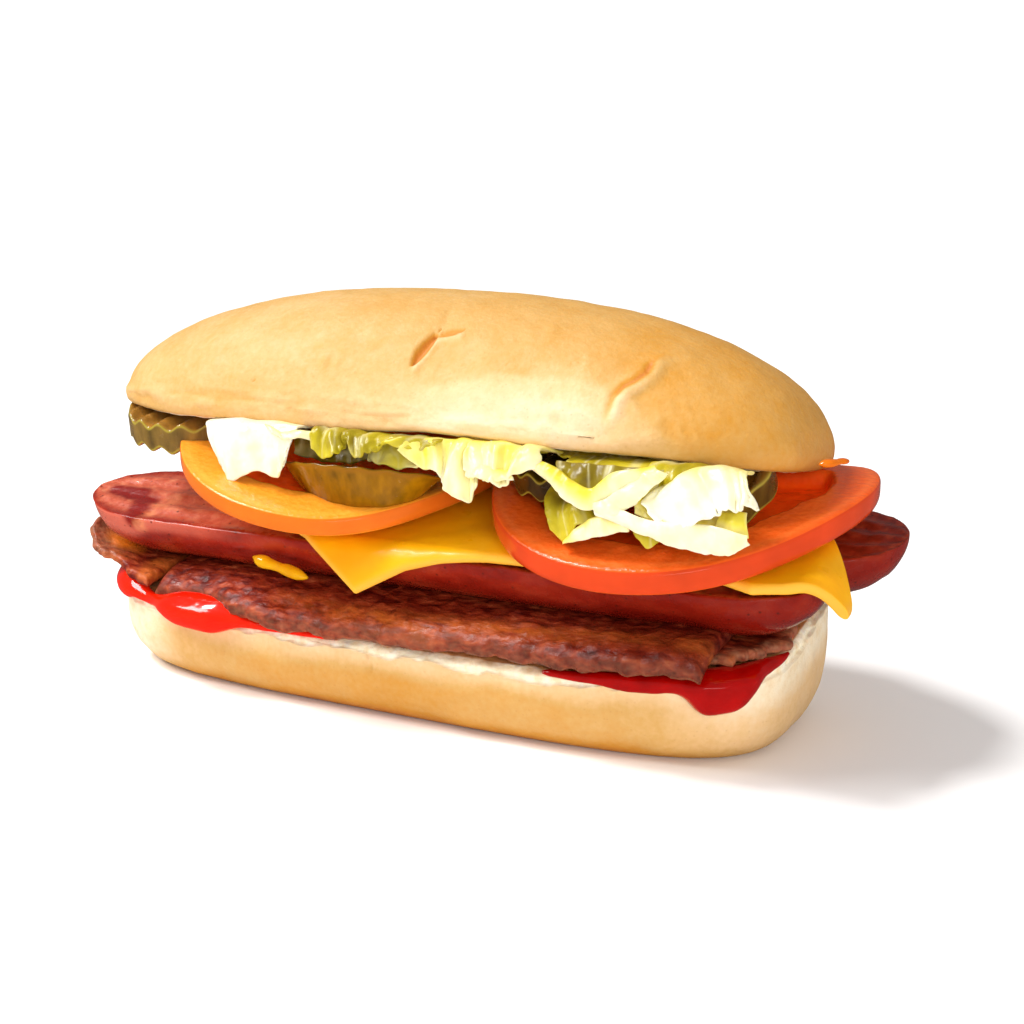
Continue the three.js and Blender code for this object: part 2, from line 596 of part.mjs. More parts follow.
const LEAVES = {
  lettuce_left: {
    lines: [
      [[-45, -25, 60.3], [-33, -25, 60.5], [-20, -25, 60.5]],
      [[-44.5, -32, 60.3], [-36, -32, 61], [-28, -32, 61.3], [-20, -32, 61]],
      [[-40, -34.5, 53], [-35.5, -36, 49.5], [-29, -36.5, 52.5], [-23, -36, 51.5], [-22, -34.5, 56]],
    ],
    arch: 0.8, ruffle: 0.5, waves: 2, phase: 2.2,
  },
  lettuce_frill: {
    lines: [
      [[-17, -25, 60.4], [-1, -25, 60.5], [18, -25, 60.5]],
      [[-16.5, -32, 61.3], [-8, -32, 61.4], [1.5, -32, 61.4], [18.5, -32, 61.3]],
      [
        [-16, -34, 58], [-8.5, -35.5, 57.6], [-1.5, -35, 58.2], [8, -34.8, 58], [16, -36.5, 53.4],
        [20.5, -36, 54],
      ],
    ],
    arch: 0.6, ruffle: 0.8, waves: 3, phase: 0.8,
  },
  lettuce_middle: {
    lines: [
      [[22.5, -25, 60.4], [30, -25, 60.5], [38, -25, 60.5]],
      [[22.5, -32, 61.2], [29.5, -32, 61.3], [37, -32, 61.2]],
      [[22.8, -35, 56.5], [26, -37, 56.3], [30.5, -37.6, 55.3], [33.5, -36.4, 57.3], [38, -34.5, 59.3]],
    ],
    arch: 1.2, ruffle: 0.7, waves: 1.4, phase: 0.4,
  },
  lettuce_shade: {
    lines: [
      [[40.5, -25, 60], [50, -25, 60.4], [60, -25, 60.4]],
      [[41, -30.5, 59], [50, -30.5, 59.4], [61, -30.5, 59.4]],
      [[41.5, -31.5, 56.6], [47, -32, 55], [54, -32, 55.6], [61, -31.5, 56]],
    ],
    arch: 0.6, ruffle: 0.4, waves: 2, phase: 1.6,
  },
  lettuce_strand: {
    lines: [
      [[40.5, -34.8, 59.5], [45, -36, 57.8], [49, -36.5, 56.6], [53.7, -36, 60], [61, -34, 61.3]],
      [[39.5, -35.4, 57.2], [43.4, -36.4, 55], [49, -37, 52.6], [55, -36.8, 56.4], [62.5, -34.6, 59.6]],
    ],
    arch: 0.5, ruffle: 0.3, waves: 2, phase: 1.2,
  },
  lettuce_right: {
    lines: [
      [[69, -26, 60.6], [73, -26, 60.6], [78, -26, 60.4]],
      [[64, -33.4, 57.4], [69, -33.4, 60], [73, -32.6, 60.8], [77, -32.6, 60.8], [79.5, -33.6, 60]],
      [[64, -38, 52.6], [68, -39, 51.8], [74, -39, 53.6], [78, -39, 55.3], [83, -36.6, 56]],
    ],
    arch: 0.9, ruffle: 0.5, waves: 2, phase: 1.1,
  },
  lettuce_lobe: {
    lines: [
      [
        [50, -37, 54.5], [56, -37.6, 53.4], [62.5, -38, 51.6], [70, -38.6, 50.6], [76, -38.6, 51.6],
        [81.5, -38, 51.4],
      ],
      [
        [51, -37, 52], [56, -37.6, 50.5], [63, -38.2, 49], [70.5, -38.6, 47.4], [78, -38.6, 47.2],
        [81.5, -38, 49.8],
      ],
    ],
    arch: 0.8, ruffle: 0.5, waves: 2, phase: 0,
  },
  lettuce_curl: {
    lines: [
      [[36, -25, 53.6], [43, -25, 53.4], [50, -25, 53]],
      [[37.5, -31, 50.5], [42.5, -31, 51.6], [48, -31, 51.6]],
      [[39.5, -34, 46.8], [44, -35.6, 45.4], [47, -35.6, 48.4], [50.5, -34.4, 50]],
    ],
    arch: 0.6, ruffle: 0.5, waves: 1.5, phase: 1,
  },
  lettuce_under: {
    lines: [
      [[16, -4, 58.6], [40, -3, 59.5], [62, -3, 60]],
      [[20, -22, 59], [42, -23, 59], [63, -23, 58.6]],
    ],
    arch: 1, ruffle: 0.8, waves: 3, phase: 1,
  },
  lettuce_rear_left: {
    lines: [
      [[-56, 16, 54.9], [-34, 16, 55.4], [-10, 16, 55.2]],
      [[-58, 33.5, 49.5], [-40, 36, 48.2], [-22, 37.5, 46.5], [-8, 36, 47.5]],
    ],
    arch: 1.7, ruffle: 1, waves: 3, phase: 1,
  },
  lettuce_rear_right: {
    lines: [
      [[14, 18, 54.8], [34, 18, 54.6], [60, 18, 54.8]],
      [[12, 38, 49], [28, 41.5, 46.5], [46, 42, 46.5], [66, 39.5, 48.5]],
    ],
    arch: 1.9, ruffle: 1, waves: 3, phase: 2.4,
  },
};

// ---- assembly ----

const part = new THREE.Group();

function add(name, geometry, color, roughness) {
  const material = new THREE.MeshStandardMaterial({ color, roughness, metalness: 0 });
  const mesh = new THREE.Mesh(geometry, material);
  mesh.name = name;
  part.add(mesh);
  return geometry;
}

const rings = [];
for (const [name, slice, color] of [
  ["tomato_right", TOMATO_RIGHT, 0xd9481f],
  ["tomato_left", TOMATO_LEFT, 0xf08a2a],
])
  rings.push(add(name, clearOf(tomato(slice), rings), color, 0.3));

const halves = [];
for (const [name, half] of [
  ["sausage_front", FRONT_HALF],
  ["sausage_rear", REAR_HALF],
])
  halves.push(add(name, clearOf(sausageHalf(half), [...rings, ...halves]), 0x82281c, 0.3));

const cheeses = [
  ["cheese_left", CHEESE_LEFT],
  ["cheese_right", CHEESE_RIGHT],
].map(([name, slice]) => add(name, clearOf(cheese(slice), [...rings, ...halves]), 0xf4a81c, 0.35));

const strips = [];
for (const [name, strip] of [
  ["bacon_front", baconFront()],
  ["bacon_left", baconLeft()],
  ["bacon_right", baconRight()],
  ["bacon_rear", baconRear()],
])
  strips.push(add(name, clearOf(strip, [...halves, ...cheeses, ...strips]), 0x5d2218, 0.5));

const leaves = [];
for (const [name, shape] of Object.entries(LEAVES))
  leaves.push(add(name, clearOf(leaf(shape), [...rings, ...leaves]), 0xd9df7a, 0.45));

const slices = [];
for (const [name, shape] of Object.entries(PICKLES))
  slices.push(add(name, clearOf(pickle(shape), [...rings, ...leaves, ...slices]), 0x7c7a2c, 0.35));

const lower = joined(bunBottom(), sauceLeft(), sauceRight());
add("bun_bottom", clearOf(lower, [...strips, ...halves]), 0xe9b86e, 0.7);
add("bun_top", clearOf(bunTop(), [...rings, ...slices, ...leaves]), 0xe7a953, 0.6);

export default part;
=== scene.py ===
"""Looks, camera and light of the bacon cheese hot dog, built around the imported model.

Lengths are in millimetres until a mesh is made. The driving dimensions are those of the solids. This
script adds finer relief, the crown's marks, further layers of lettuce, the colours and the finish.
"""

import math

import bmesh
import bpy
import numpy as np
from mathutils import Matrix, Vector


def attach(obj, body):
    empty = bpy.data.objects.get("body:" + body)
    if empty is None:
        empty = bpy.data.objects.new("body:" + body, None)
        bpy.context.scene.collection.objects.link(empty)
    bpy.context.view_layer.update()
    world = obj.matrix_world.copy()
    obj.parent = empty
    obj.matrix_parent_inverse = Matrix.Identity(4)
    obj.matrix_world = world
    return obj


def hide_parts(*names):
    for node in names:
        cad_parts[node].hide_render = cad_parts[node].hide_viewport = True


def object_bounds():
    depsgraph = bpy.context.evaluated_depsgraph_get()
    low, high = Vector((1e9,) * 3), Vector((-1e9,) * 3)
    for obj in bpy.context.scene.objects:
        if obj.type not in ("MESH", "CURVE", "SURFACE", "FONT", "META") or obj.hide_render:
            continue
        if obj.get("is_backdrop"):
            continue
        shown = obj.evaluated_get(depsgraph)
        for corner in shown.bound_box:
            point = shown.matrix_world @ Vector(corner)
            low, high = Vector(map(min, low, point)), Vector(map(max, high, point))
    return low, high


MM = 0.001
EVEN_SAMPLES = 400001
TAU = 2 * math.pi

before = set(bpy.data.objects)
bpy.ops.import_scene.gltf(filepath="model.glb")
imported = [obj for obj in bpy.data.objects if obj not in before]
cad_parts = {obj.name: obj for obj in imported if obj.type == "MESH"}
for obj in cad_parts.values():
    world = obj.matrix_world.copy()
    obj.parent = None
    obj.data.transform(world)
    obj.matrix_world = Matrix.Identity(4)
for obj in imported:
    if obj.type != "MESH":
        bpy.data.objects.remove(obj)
cad_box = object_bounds()

# ---- camera ----

AZIMUTH = math.radians(27.5)
ELEVATION = math.radians(13.3)
TARGET = Vector((9.99, 6.48, 38.71)) * MM
DISTANCE = 376.27 * MM
LENS = 58.82

back = Vector(
    (
        math.sin(AZIMUTH) * math.cos(ELEVATION),
        -math.cos(AZIMUTH) * math.cos(ELEVATION),
        math.sin(ELEVATION),
    )
)
camera = bpy.data.objects.new("camera", bpy.data.cameras.new("camera"))
camera.data.lens = LENS
camera.data.sensor_width = 36
camera.data.clip_start = 0.01
camera.location = TARGET + back * DISTANCE
camera.rotation_euler = back.to_track_quat("Z", "Y").to_euler()
bpy.context.collection.objects.link(camera)
bpy.context.scene.camera = camera

# ---- numbers ----


def lerp(a, b, t):
    return a + (b - a) * t


def smooth(x, start, end):
    t = np.clip((np.asarray(x, float) - start) / (end - start), 0, 1)
    return t * t * (3 - 2 * t)


def bump(x, at, width):
    return np.exp(-(((x - at) / width) ** 2))


def along(pairs, x):
    """Smooth curve through (x, value) pairs, level at each of them."""
    out = np.full(np.shape(x), float(pairs[0][1]))
    for (x0, v0), (x1, v1) in zip(pairs, pairs[1:]):
        out = out + (v1 - v0) * smooth(x, x0, x1)
    return out


def straight(pairs, x):
    return np.interp(x, *zip(*pairs))


def squared(value, power):
    return np.sign(value) * np.abs(value) ** (2 / power)


def lattice(i, j, k, seed):
    """A repeatable value from -1 to 1 for each whole-numbered place."""
    h = (i * 374761393 + j * 668265263 + k * 1442695041 + seed * 974634777) & 0xFFFFFFFF
    h = ((h ^ (h >> 13)) * 1274126177) & 0xFFFFFFFF
    h = ((h ^ (h >> 16)) * 668265261) & 0xFFFFFFFF
    return (h ^ (h >> 15)) / 0x7FFFFFFF - 1


def noise(points, size, seed):
    """Smooth value noise from -1 to 1 at points, with one cell every size."""
    q = np.asarray(points, float) / size
    base = np.floor(q).astype(np.int64)
    f = q - base
    f = f * f * (3 - 2 * f)
    out = 0
    for corner in range(8):
        step = [(corner >> axis) & 1 for axis in range(3)]
        weight = 1
        for axis in range(3):
            weight = weight * (f[..., axis] if step[axis] else 1 - f[..., axis])
        cell = [base[..., axis] + step[axis] for axis in range(3)]
        out = out + weight * lattice(*cell, seed)
    return out


def fractal(points, size, octaves, seed):
    total = 0
    for o in range(octaves):
        total = total + noise(points, size / 2**o, seed + o) / 2**o
    return total / (2 - 2 ** (1 - octaves))


def near_line(x, y, corners):
    """Distance from each (x, y) to a broken line."""
    best = np.full(np.shape(x), 1e9)
    for (x0, y0), (x1, y1) in zip(corners, corners[1:]):
        dx, dy = x1 - x0, y1 - y0
        t = np.clip(((x - x0) * dx + (y - y0) * dy) / (dx * dx + dy * dy), 0, 1)
        best = np.minimum(best, np.hypot(x - x0 - t * dx, y - y0 - t * dy))
    return best


# ---- grids and bodies ----


def facing(grid):
    """Unit normals of a grid of points that closes on itself along its second axis."""
    across = np.roll(grid, -1, 1) - np.roll(grid, 1, 1)
    n = np.cross(across, np.gradient(grid, axis=0))
    n = n / (np.linalg.norm(n, axis=-1, keepdims=True) + 1e-12)
    outward = grid - grid.mean((0, 1))
    return n if (n * outward).sum() > 0 else -n


def even(plan, start, end, count):
    """Angles from start to end at which the steps along a plan are equally long."""
    t = np.linspace(start, end, EVEN_SAMPLES)
    x, y = plan(t)
    run = np.concatenate([[0], np.cumsum(np.hypot(np.diff(x), np.diff(y)))])
    return np.interp(np.linspace(0, run[-1], count), run, t)


def raised(grid, amount):
    return grid + facing(grid) * np.asarray(amount)[..., None]


def loft(rings):
    """Points and faces of a closed body through rings, each end closed on its middle."""
    count, around = rings.shape[:2]
    index = np.arange(count * around).reshape(count, around)
    turned = np.roll(index, -1, 1)
    quads = np.stack([index[:-1], turned[:-1], turned[1:], index[1:]], -1).reshape(-1, 4)
    points = np.concatenate([rings.reshape(-1, 3), [rings[0].mean(0)], [rings[-1].mean(0)]])
    faces = quads.tolist()
    for row, middle in ((0, count * around), (count - 1, count * around + 1)):
        faces += [[int(a), int(b), middle] for a, b in zip(index[row], turned[row])]
    return points, faces


def capped(values):
    """Values of a lofted grid with one more for the middle of each end."""
    return np.concatenate([values.reshape(-1), [values[0].mean()], [values[-1].mean()]])


def steps(count, length, lead):
    """Shares from 0 to 1 that crowd together within lead of both ends."""
    start = lead * (1 - np.cos(np.linspace(0, math.pi / 2, 5)))
    inner = np.linspace(lead, length - lead, count)
    return np.concatenate([start[:-1], inner, (length - start[:-1])[::-1]]) / length


def sheet(middle, thickness, size, counts, seed, rough):
    """Closed thin body round the surface middle(u, v), with rounded edges.

    thickness is a number or a function of u and v, size the surface's two lengths, and rough the
    height of a fine relief. Also returns u and v of each point.
    """
    lead = 0.5 * (thickness if np.isscalar(thickness) else 2.0)
    us, vs = steps(counts[0], size[0], lead), steps(counts[1], size[1], lead)
    v, u = np.meshgrid(vs, us, indexing="ij")
    e = 1e-3
    du = middle(u + e, v) - middle(u - e, v)
    dv = middle(u, v + e) - middle(u, v - e)
    normal = np.cross(du, dv)
    normal /= np.linalg.norm(normal, axis=-1, keepdims=True) + 1e-12
    inward = np.minimum.reduce([u * size[0], (1 - u) * size[0], v * size[1], (1 - v) * size[1]])
    edge = np.sqrt(np.clip(1 - (1 - np.clip(inward / lead, 0, 1)) ** 2, 0, 1))
    half = 0.5 * (thickness if np.isscalar(thickness) else thickness(u, v)) * edge
    centre = middle(u, v)
    sides = []
    for side in (1, -1):
        face = centre + normal * (side * half)[..., None]
        grain = side * rough * edge * fractal(face, 3.0, 3, seed)
        sides.append(face + normal * grain[..., None])
    rows, columns = u.shape
    index = np.arange(rows * columns).reshape(rows, columns)
    other = index + rows * columns
    border = inward <= 1e-9
    other[border] = index[border]
    quads = []
    for grid, order in ((index, (0, 1, 2, 3)), (other, (3, 2, 1, 0))):
        corners = [grid[:-1, :-1], grid[:-1, 1:], grid[1:, 1:], grid[1:, :-1]]
        quads.append(np.stack([corners[i] for i in order], -1).reshape(-1, 4))
    points = np.concatenate([side.reshape(-1, 3) for side in sides])
    faces = np.concatenate(quads)
    used, packed = np.unique(faces, return_inverse=True)
    uv = [np.tile(a.reshape(-1), 2)[used] for a in (u, v)]
    return points[used], packed.reshape(-1, 4).tolist(), uv[0], uv[1]


def curve(points):
    """Smooth curve through listed points: a centripetal Catmull-Rom spline."""
    p = np.array(points, float)
    p = np.concatenate([[2 * p[0] - p[1]], p, [2 * p[-1] - p[-2]]])
    last = len(points) - 1

    def at(t):
        place = np.clip(t, 0, 1) * last
        i = np.clip(np.floor(place), 0, last - 1).astype(int)
        w = (place - i)[..., None]
        p0, p1, p2, p3 = p[i], p[i + 1], p[i + 2], p[i + 3]
        d0, d1, d2 = (
            np.linalg.norm(b - a, axis=-1, keepdims=True) ** 0.5
            for a, b in ((p0, p1), (p1, p2), (p2, p3))
        )
        t1 = ((p1 - p0) / d0 - (p2 - p0) / (d0 + d1) + (p2 - p1) / d1) * d1
        t2 = ((p2 - p1) / d1 - (p3 - p1) / (d1 + d2) + (p3 - p2) / d2) * d1
        c2 = -3 * p1 + 3 * p2 - 2 * t1 - t2
        c3 = 2 * p1 - 2 * p2 + t1 + t2
        return p1 + t1 * w + c2 * w**2 + c3 * w**3

    return at


def between(near, far):
    near, far = curve(near), curve(far)

    def middle(u, v):
        t = np.clip(u, 0, 1)
        tangent = near(np.minimum(t + 0.01, 1)) - near(np.maximum(t - 0.01, 0))
        a = near(t) + (u - t)[..., None] * 40 * tangent
        b = far(t) + (u - t)[..., None] * 40 * tangent
        return a + (b - a) * v[..., None]

    return middle


def stack(x, y, z):
    return np.stack(np.broadcast_arrays(x, y, z), -1)


# ---- materials ----


def linear(colour):
    c = np.array(colour, float) / 255
    return tuple(np.where(c <= 0.04045, c / 12.92, ((c + 0.055) / 1.055) ** 2.4)) + (1.0,)


class Finish:
    """A node material under construction. Texture sizes are in millimetres."""

    def __init__(self, name):
        self.material = bpy.data.materials.new(name)
        self.material.use_nodes = True
        self.nodes = self.material.node_tree.nodes
        self.links = self.material.node_tree.links
        self.nodes.clear()
        self.surface = self.nodes.new("ShaderNodeBsdfPrincipled")
        out = self.nodes.new("ShaderNodeOutputMaterial")
        self.links.new(self.surface.outputs["BSDF"], out.inputs["Surface"])
        self.place = self.nodes.new("ShaderNodeTexCoord").outputs["Object"]

    def put(self, socket, value):
        if isinstance(value, bpy.types.NodeSocket):
            self.links.new(value, socket)
        else:
            socket.default_value = value

    def texture(self, kind, size, stretch):
        fit = self.nodes.new("ShaderNodeMapping")
        fit.inputs["Scale"].default_value = [1 / (size * MM * s) for s in stretch]
        self.links.new(self.place, fit.inputs["Vector"])
        tex = self.nodes.new(kind)
        tex.inputs["Scale"].default_value = 1.0
        self.links.new(fit.outputs["Vector"], tex.inputs["Vector"])
        return tex

    def noise(self, size, detail=3.0, stretch=(1, 1, 1), contrast=1.0, twist=0.0):
        """Fractal noise round 0.5. stretch makes it longer along each axis."""
        tex = self.texture("ShaderNodeTexNoise", size, stretch)
        tex.inputs["Detail"].default_value = detail
        tex.inputs["Distortion"].default_value = twist
        if contrast == 1.0:
            return tex.outputs["Fac"]
        return self.span(tex.outputs["Fac"], 0.5 - 0.5 / contrast, 0.5 + 0.5 / contrast, 0, 1)

    def cells(self, size):
        return self.texture("ShaderNodeTexVoronoi", size, (1, 1, 1)).outputs["Distance"]

    def span(self, value, a, b, c, d):
        """Maps a..b to c..d and holds it at both ends."""
        node = self.nodes.new("ShaderNodeMapRange")
        for key, v in zip(("Value", "From Min", "From Max", "To Min", "To Max"), (value, a, b, c, d)):
            self.put(node.inputs[key], v)
        return node.outputs["Result"]

    def sum(self, a, b, share=1.0):
        """a plus b times share."""
        node = self.nodes.new("ShaderNodeMath")
        node.operation = "MULTIPLY_ADD"
        self.put(node.inputs[0], b)
        self.put(node.inputs[1], share)
        self.put(node.inputs[2], a)
        return node.outputs[0]

    def product(self, a, b):
        node = self.nodes.new("ShaderNodeMath")
        node.operation = "MULTIPLY"
        self.put(node.inputs[0], a)
        self.put(node.inputs[1], b)
        return node.outputs[0]

    def paint(self, key):
        node = self.nodes.new("ShaderNodeAttribute")
        node.attribute_name = key
        return node.outputs["Fac"]

    def ramp(self, value, *stops):
        node = self.nodes.new("ShaderNodeValToRGB")
        line = node.color_ramp
        while len(line.elements) < len(stops):
            line.elements.new(0.5)
        for element, (place, colour) in zip(line.elements, stops):
            element.position = place
            element.color = linear(colour)
        self.put(node.inputs["Fac"], value)
        return node.outputs["Color"]

    def blend(self, share, a, b):
        node = self.nodes.new("ShaderNodeMix")
        node.data_type = "RGBA"
        node.blend_type = "MIX"
        for place, value in ((0, share), (6, a), (7, b)):
            if isinstance(value, tuple) and len(value) == 3:
                value = linear(value)
            self.put(node.inputs[place], value)
        return node.outputs[2]

    def relief(self, height, distance, strength):
        node = self.nodes.new("ShaderNodeBump")
        node.inputs["Distance"].default_value = distance * MM
        self.put(node.inputs["Strength"], strength)
        self.put(node.inputs["Height"], height)
        return node.outputs["Normal"]

    def done(self, colour, roughness, normal, **values):
        self.put(self.surface.inputs["Base Color"], colour)
        self.put(self.surface.inputs["Roughness"], roughness)
        self.put(self.surface.inputs["Normal"], normal)
        for key, value in values.items():
            self.put(self.surface.inputs[key.replace("_", " ")], value)
        return self.material


def soft(weight, radius):
    """Light that goes under the surface; radius is for red, green and blue, in millimetres."""
    return {
        "Subsurface_Weight": weight,
        "Subsurface_Radius": tuple(r * MM for r in radius),
        "Subsurface_Scale": 1.0,
    }


def wet(reflection, weight, roughness):
    """A surface's own reflection and a thin wet layer over it."""
    return {
        "Specular_IOR_Level": reflection,
        "Coat_Weight": weight,
        "Coat_Roughness": roughness,
    }


def bread(name):
    """Crust from pale to deep brown by the paint 'bake', which also darkens as painted shade; torn
    crumb where 'crumb' is 1.
    """
    f = Finish(name)
    tone = f.sum(f.sum(f.paint("bake"), f.noise(9, 4), 0.3), -0.21)
    tone = f.sum(f.sum(tone, f.noise(1.3, 3), 0.2), -0.03)
    crust = f.ramp(
        tone,
        (0.0, (240, 213, 174)),
        (0.25, (232, 192, 138)),
        (0.5, (212, 165, 94)),
        (0.75, (207, 143, 48)),
        (1.0, (202, 122, 38)),
    )
    pores = f.span(f.cells(1.5), 0.02, 0.2, 1, 0)
    crust = f.blend(f.product(pores, 0.22), crust, (176, 112, 56))
    torn = f.noise(2.2, 4, contrast=1.8)
    crumb = f.ramp(torn, (0, (236, 208, 158)), (0.5, (252, 238, 206)), (1, (255, 250, 232)))
    colour = f.blend(f.paint("crumb"), crust, crumb)
    # Orange-brown juice stain, which also paints warm shade on the crumb under the filling.
    colour = f.blend(f.paint("stain"), colour, (190, 112, 38))
    grain = f.sum(f.noise(0.9, 4), f.noise(3.2, 3), 0.7)
    grain = f.sum(grain, f.product(f.paint("crumb"), f.noise(1.1, 4)), 2.0)
    normal = f.relief(grain, 0.2, 0.75)
    rough = f.span(f.noise(4, 3), 0.3, 0.7, 0.48, 0.66)
    return f.done(colour, rough, normal, Specular_IOR_Level=0.32, **soft(0.06, (2.4, 1.2, 0.6)))


def sausage_skin(name):
    f = Finish(name)
    mottle = f.noise(5, 5, (1.8, 1, 1), contrast=1.5)
    reds = ((0, (96, 12, 6)), (0.45, (150, 32, 16)), (0.8, (176, 56, 30)), (1, (196, 86, 50)))
    skin = f.ramp(mottle, *reds)
    # Painted reflection: a pink-salmon sheen on the upper skin.
    skin = f.blend(f.paint("pink"), skin, (208, 102, 80))
    # Painted shade: deeper red on the underside and towards the right end.
    skin = f.blend(f.paint("under"), skin, (118, 18, 7))
    grainy = f.noise(2.2, 5, contrast=1.5)
    brown = f.ramp(grainy, (0, (84, 14, 6)), (0.5, (132, 36, 16)), (1, (172, 72, 40)))
    salmon = f.ramp(grainy, (0, (168, 64, 40)), (0.5, (200, 94, 66)), (1, (226, 138, 100)))
    meat = f.blend(f.paint("salmon"), brown, salmon)
    colour = f.blend(f.paint("face"), skin, meat)
    colour = f.blend(f.paint("sear"), colour, (132, 16, 5))
    # Painted sheen: pale spots along a ridge of the left end.
    scraped = f.product(f.paint("scrape"), f.noise(1.8, 4, contrast=1.6))
    colour = f.blend(scraped, colour, (232, 146, 96))
    specks = f.span(f.cells(2.4), 0.05, 0.16, 0.8, 0)
    colour = f.blend(specks, colour, (58, 16, 10))
    height = f.sum(f.noise(1.2, 4), f.noise(4.5, 3, (2, 1, 1)), 1.2)
    height = f.sum(height, f.product(f.paint("face"), f.noise(0.9, 5)), 1.5)
    normal = f.relief(height, 0.16, 0.5)
    rough = f.sum(f.span(f.noise(2.2, 4), 0.3, 0.7, 0.16, 0.34), f.paint("face"), 0.12)
    return f.done(colour, rough, normal, **wet(0.25, 0.3, 0.05), **soft(0.03, (2.0, 0.5, 0.3)))


def fried_bacon(name):
    f = Finish(name)
    fibre = f.noise(1.7, 6, (2.2, 1, 1), contrast=1.8, twist=0.4)
    colour = f.ramp(
        fibre,
        (0, (54, 8, 4)),
        (0.35, (106, 24, 11)),
        (0.62, (146, 50, 25)),
        (0.85, (176, 78, 44)),
        (1, (200, 108, 66)),
    )
    streak = f.product(f.paint("streak"), f.noise(2.4, 4, (3, 1, 1), contrast=2))
    colour = f.blend(streak, colour, (216, 112, 44))
    fat = f.product(f.paint("fat"), f.noise(1.5, 4, contrast=1.6))
    colour = f.blend(fat, colour, (176, 118, 84))
    colour = f.blend(f.paint("stain"), colour, (244, 128, 18))
    # Painted shade: darker where the sausage shades the strip.
    colour = f.blend(f.paint("deep"), colour, (62, 8, 4))
    char = f.span(f.cells(3.1), 0.05, 0.2, 0.45, 0)
    colour = f.blend(char, colour, (40, 10, 6))
    height = f.sum(f.noise(0.9, 5, (1.5, 1, 1)), fibre, 0.8)
    normal = f.relief(height, 0.26, 0.8)
    rough = f.span(f.noise(2.6, 4), 0.35, 0.7, 0.3, 0.6)
    return f.done(colour, rough, normal, Specular_IOR_Level=0.28, **soft(0.03, (1.2, 0.4, 0.2)))


def cheese_finish(name):
    f = Finish(name)
    tone = f.noise(16, 3, contrast=1.3)
    colour = f.ramp(tone, (0, (242, 156, 2)), (0.5, (248, 178, 10)), (1, (252, 192, 30)))
    colour = f.blend(f.paint("edge"), colour, (250, 180, 60))
    height = f.sum(f.noise(1.1, 3), f.noise(7, 2), 1.2)
    normal = f.relief(height, 0.07, 0.35)
    rough = f.span(f.noise(5, 3), 0.3, 0.7, 0.26, 0.4)
    return f.done(colour, rough, normal, **wet(0.22, 0.05, 0.1), **soft(0.1, (3.0, 1.5, 0.3)))


def tomato_finish(name, skin, flesh, deep):
    f = Finish(name)
    cells = f.noise(1.2, 4, contrast=1.5)
    wall = f.blend(f.product(cells, 0.5), flesh, tuple(min(255, c + 34) for c in flesh))
    pale = f.product(f.paint("rim"), 0.35)
    wall = f.blend(pale, wall, tuple(min(255, c + 44) for c in flesh))
    lit = tuple(int(c * 1.25) for c in deep)
    gel = f.ramp(f.noise(3.4, 4, contrast=1.5), (0, deep), (0.6, lit), (1, flesh))
    colour = f.blend(f.paint("pocket"), wall, gel)
    peel = f.blend(f.noise(9, 3, contrast=1.6), skin, tuple(int(c * 0.88) for c in skin))
    colour = f.blend(f.paint("skin"), colour, peel)
    height = f.sum(f.noise(0.9, 4), f.cells(1.3), 0.8)
    strength = f.span(f.paint("skin"), 0, 1, 0.62, 0.04)
    normal = f.relief(height, 0.2, strength)
    rough = f.span(f.paint("skin"), 0, 1, 0.27, 0.15)
    return f.done(colour, rough, normal, **wet(0.35, 0.15, 0.05), **soft(0.1, (2.5, 0.8, 0.3)))


def pickle_finish(name, face, skin, flesh=None):
    f = Finish(name)
    tone = f.noise(3, 4, contrast=1.5)
    cut = f.blend(tone, face, tuple(int(c * 0.62) for c in face))
    rind = f.blend(f.noise(2.6, 4, (1, 1, 3), contrast=1.8), skin, tuple(int(c * 0.55) for c in skin))
    colour = f.blend(f.paint("skin"), cut, rind)
    colour = f.blend(f.paint("rim"), colour, flesh or (170, 150, 52))
    height = f.sum(f.noise(1.3, 4), f.noise(0.6, 2), 0.5)
    normal = f.relief(height, 0.16, 0.5)
    rough = f.span(f.noise(3, 3), 0.3, 0.7, 0.14, 0.28)
    return f.done(colour, rough, normal, **wet(0.35, 0.2, 0.05), **soft(0.12, (2.0, 1.5, 0.4)))


def leaf_finish(name):
    f = Finish(name)
    tone = f.sum(f.paint("green"), f.noise(6, 4), 0.3)
    colour = f.ramp(
        tone,
        (0.12, (250, 244, 222)),
        (0.34, (246, 236, 170)),
        (0.55, (234, 216, 70)),
        (0.78, (190, 172, 28)),
        (1.0, (124, 104, 12)),
    )
    colour = f.blend(f.product(f.paint("vein"), 0.5), colour, (244, 238, 190))
    height = f.sum(f.noise(2.2, 4), f.noise(0.8, 3), 0.4)
    normal = f.relief(height, 0.2, 0.5)
    return f.done(colour, 0.32, normal, Specular_IOR_Level=0.45, **soft(0.2, (2.0, 2.0, 0.7)))


def sauce_finish(name, colour, dark):
    f = Finish(name)
    tone = f.blend(f.noise(5, 3, contrast=1.5), colour, dark)
    normal = f.relief(f.noise(3.2, 3), 0.16, 0.3)
    return f.done(tone, 0.12, normal, **wet(0.4, 0.3, 0.03), **soft(0.06, (2.0, 0.4, 0.2)))


# ---- pieces ----


def piece(name, node, slot, shape, material, **paints):
    """Makes an object of points and faces, and puts it in the place of a solid."""
    points, faces = shape
    mesh = bpy.data.meshes.new(name)
    mesh.from_pydata((points * MM).tolist(), [], faces)
    for key, values in paints.items():
        layer = mesh.attributes.new(key, "FLOAT", "POINT")
        values = np.broadcast_to(np.asarray(values, float), (len(points),))
        layer.data.foreach_set("value", np.clip(values, 0, 1).astype(np.float32))
    work = bmesh.new()
    work.from_mesh(mesh)
    bmesh.ops.recalc_face_normals(work, faces=work.faces)
    work.to_mesh(mesh)
    work.free()
    mesh.shade_smooth()
    mesh.materials.append(material)
    made = bpy.data.objects.new(name, mesh)
    bpy.context.collection.objects.link(made)
    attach(made, "root")
    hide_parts(node)


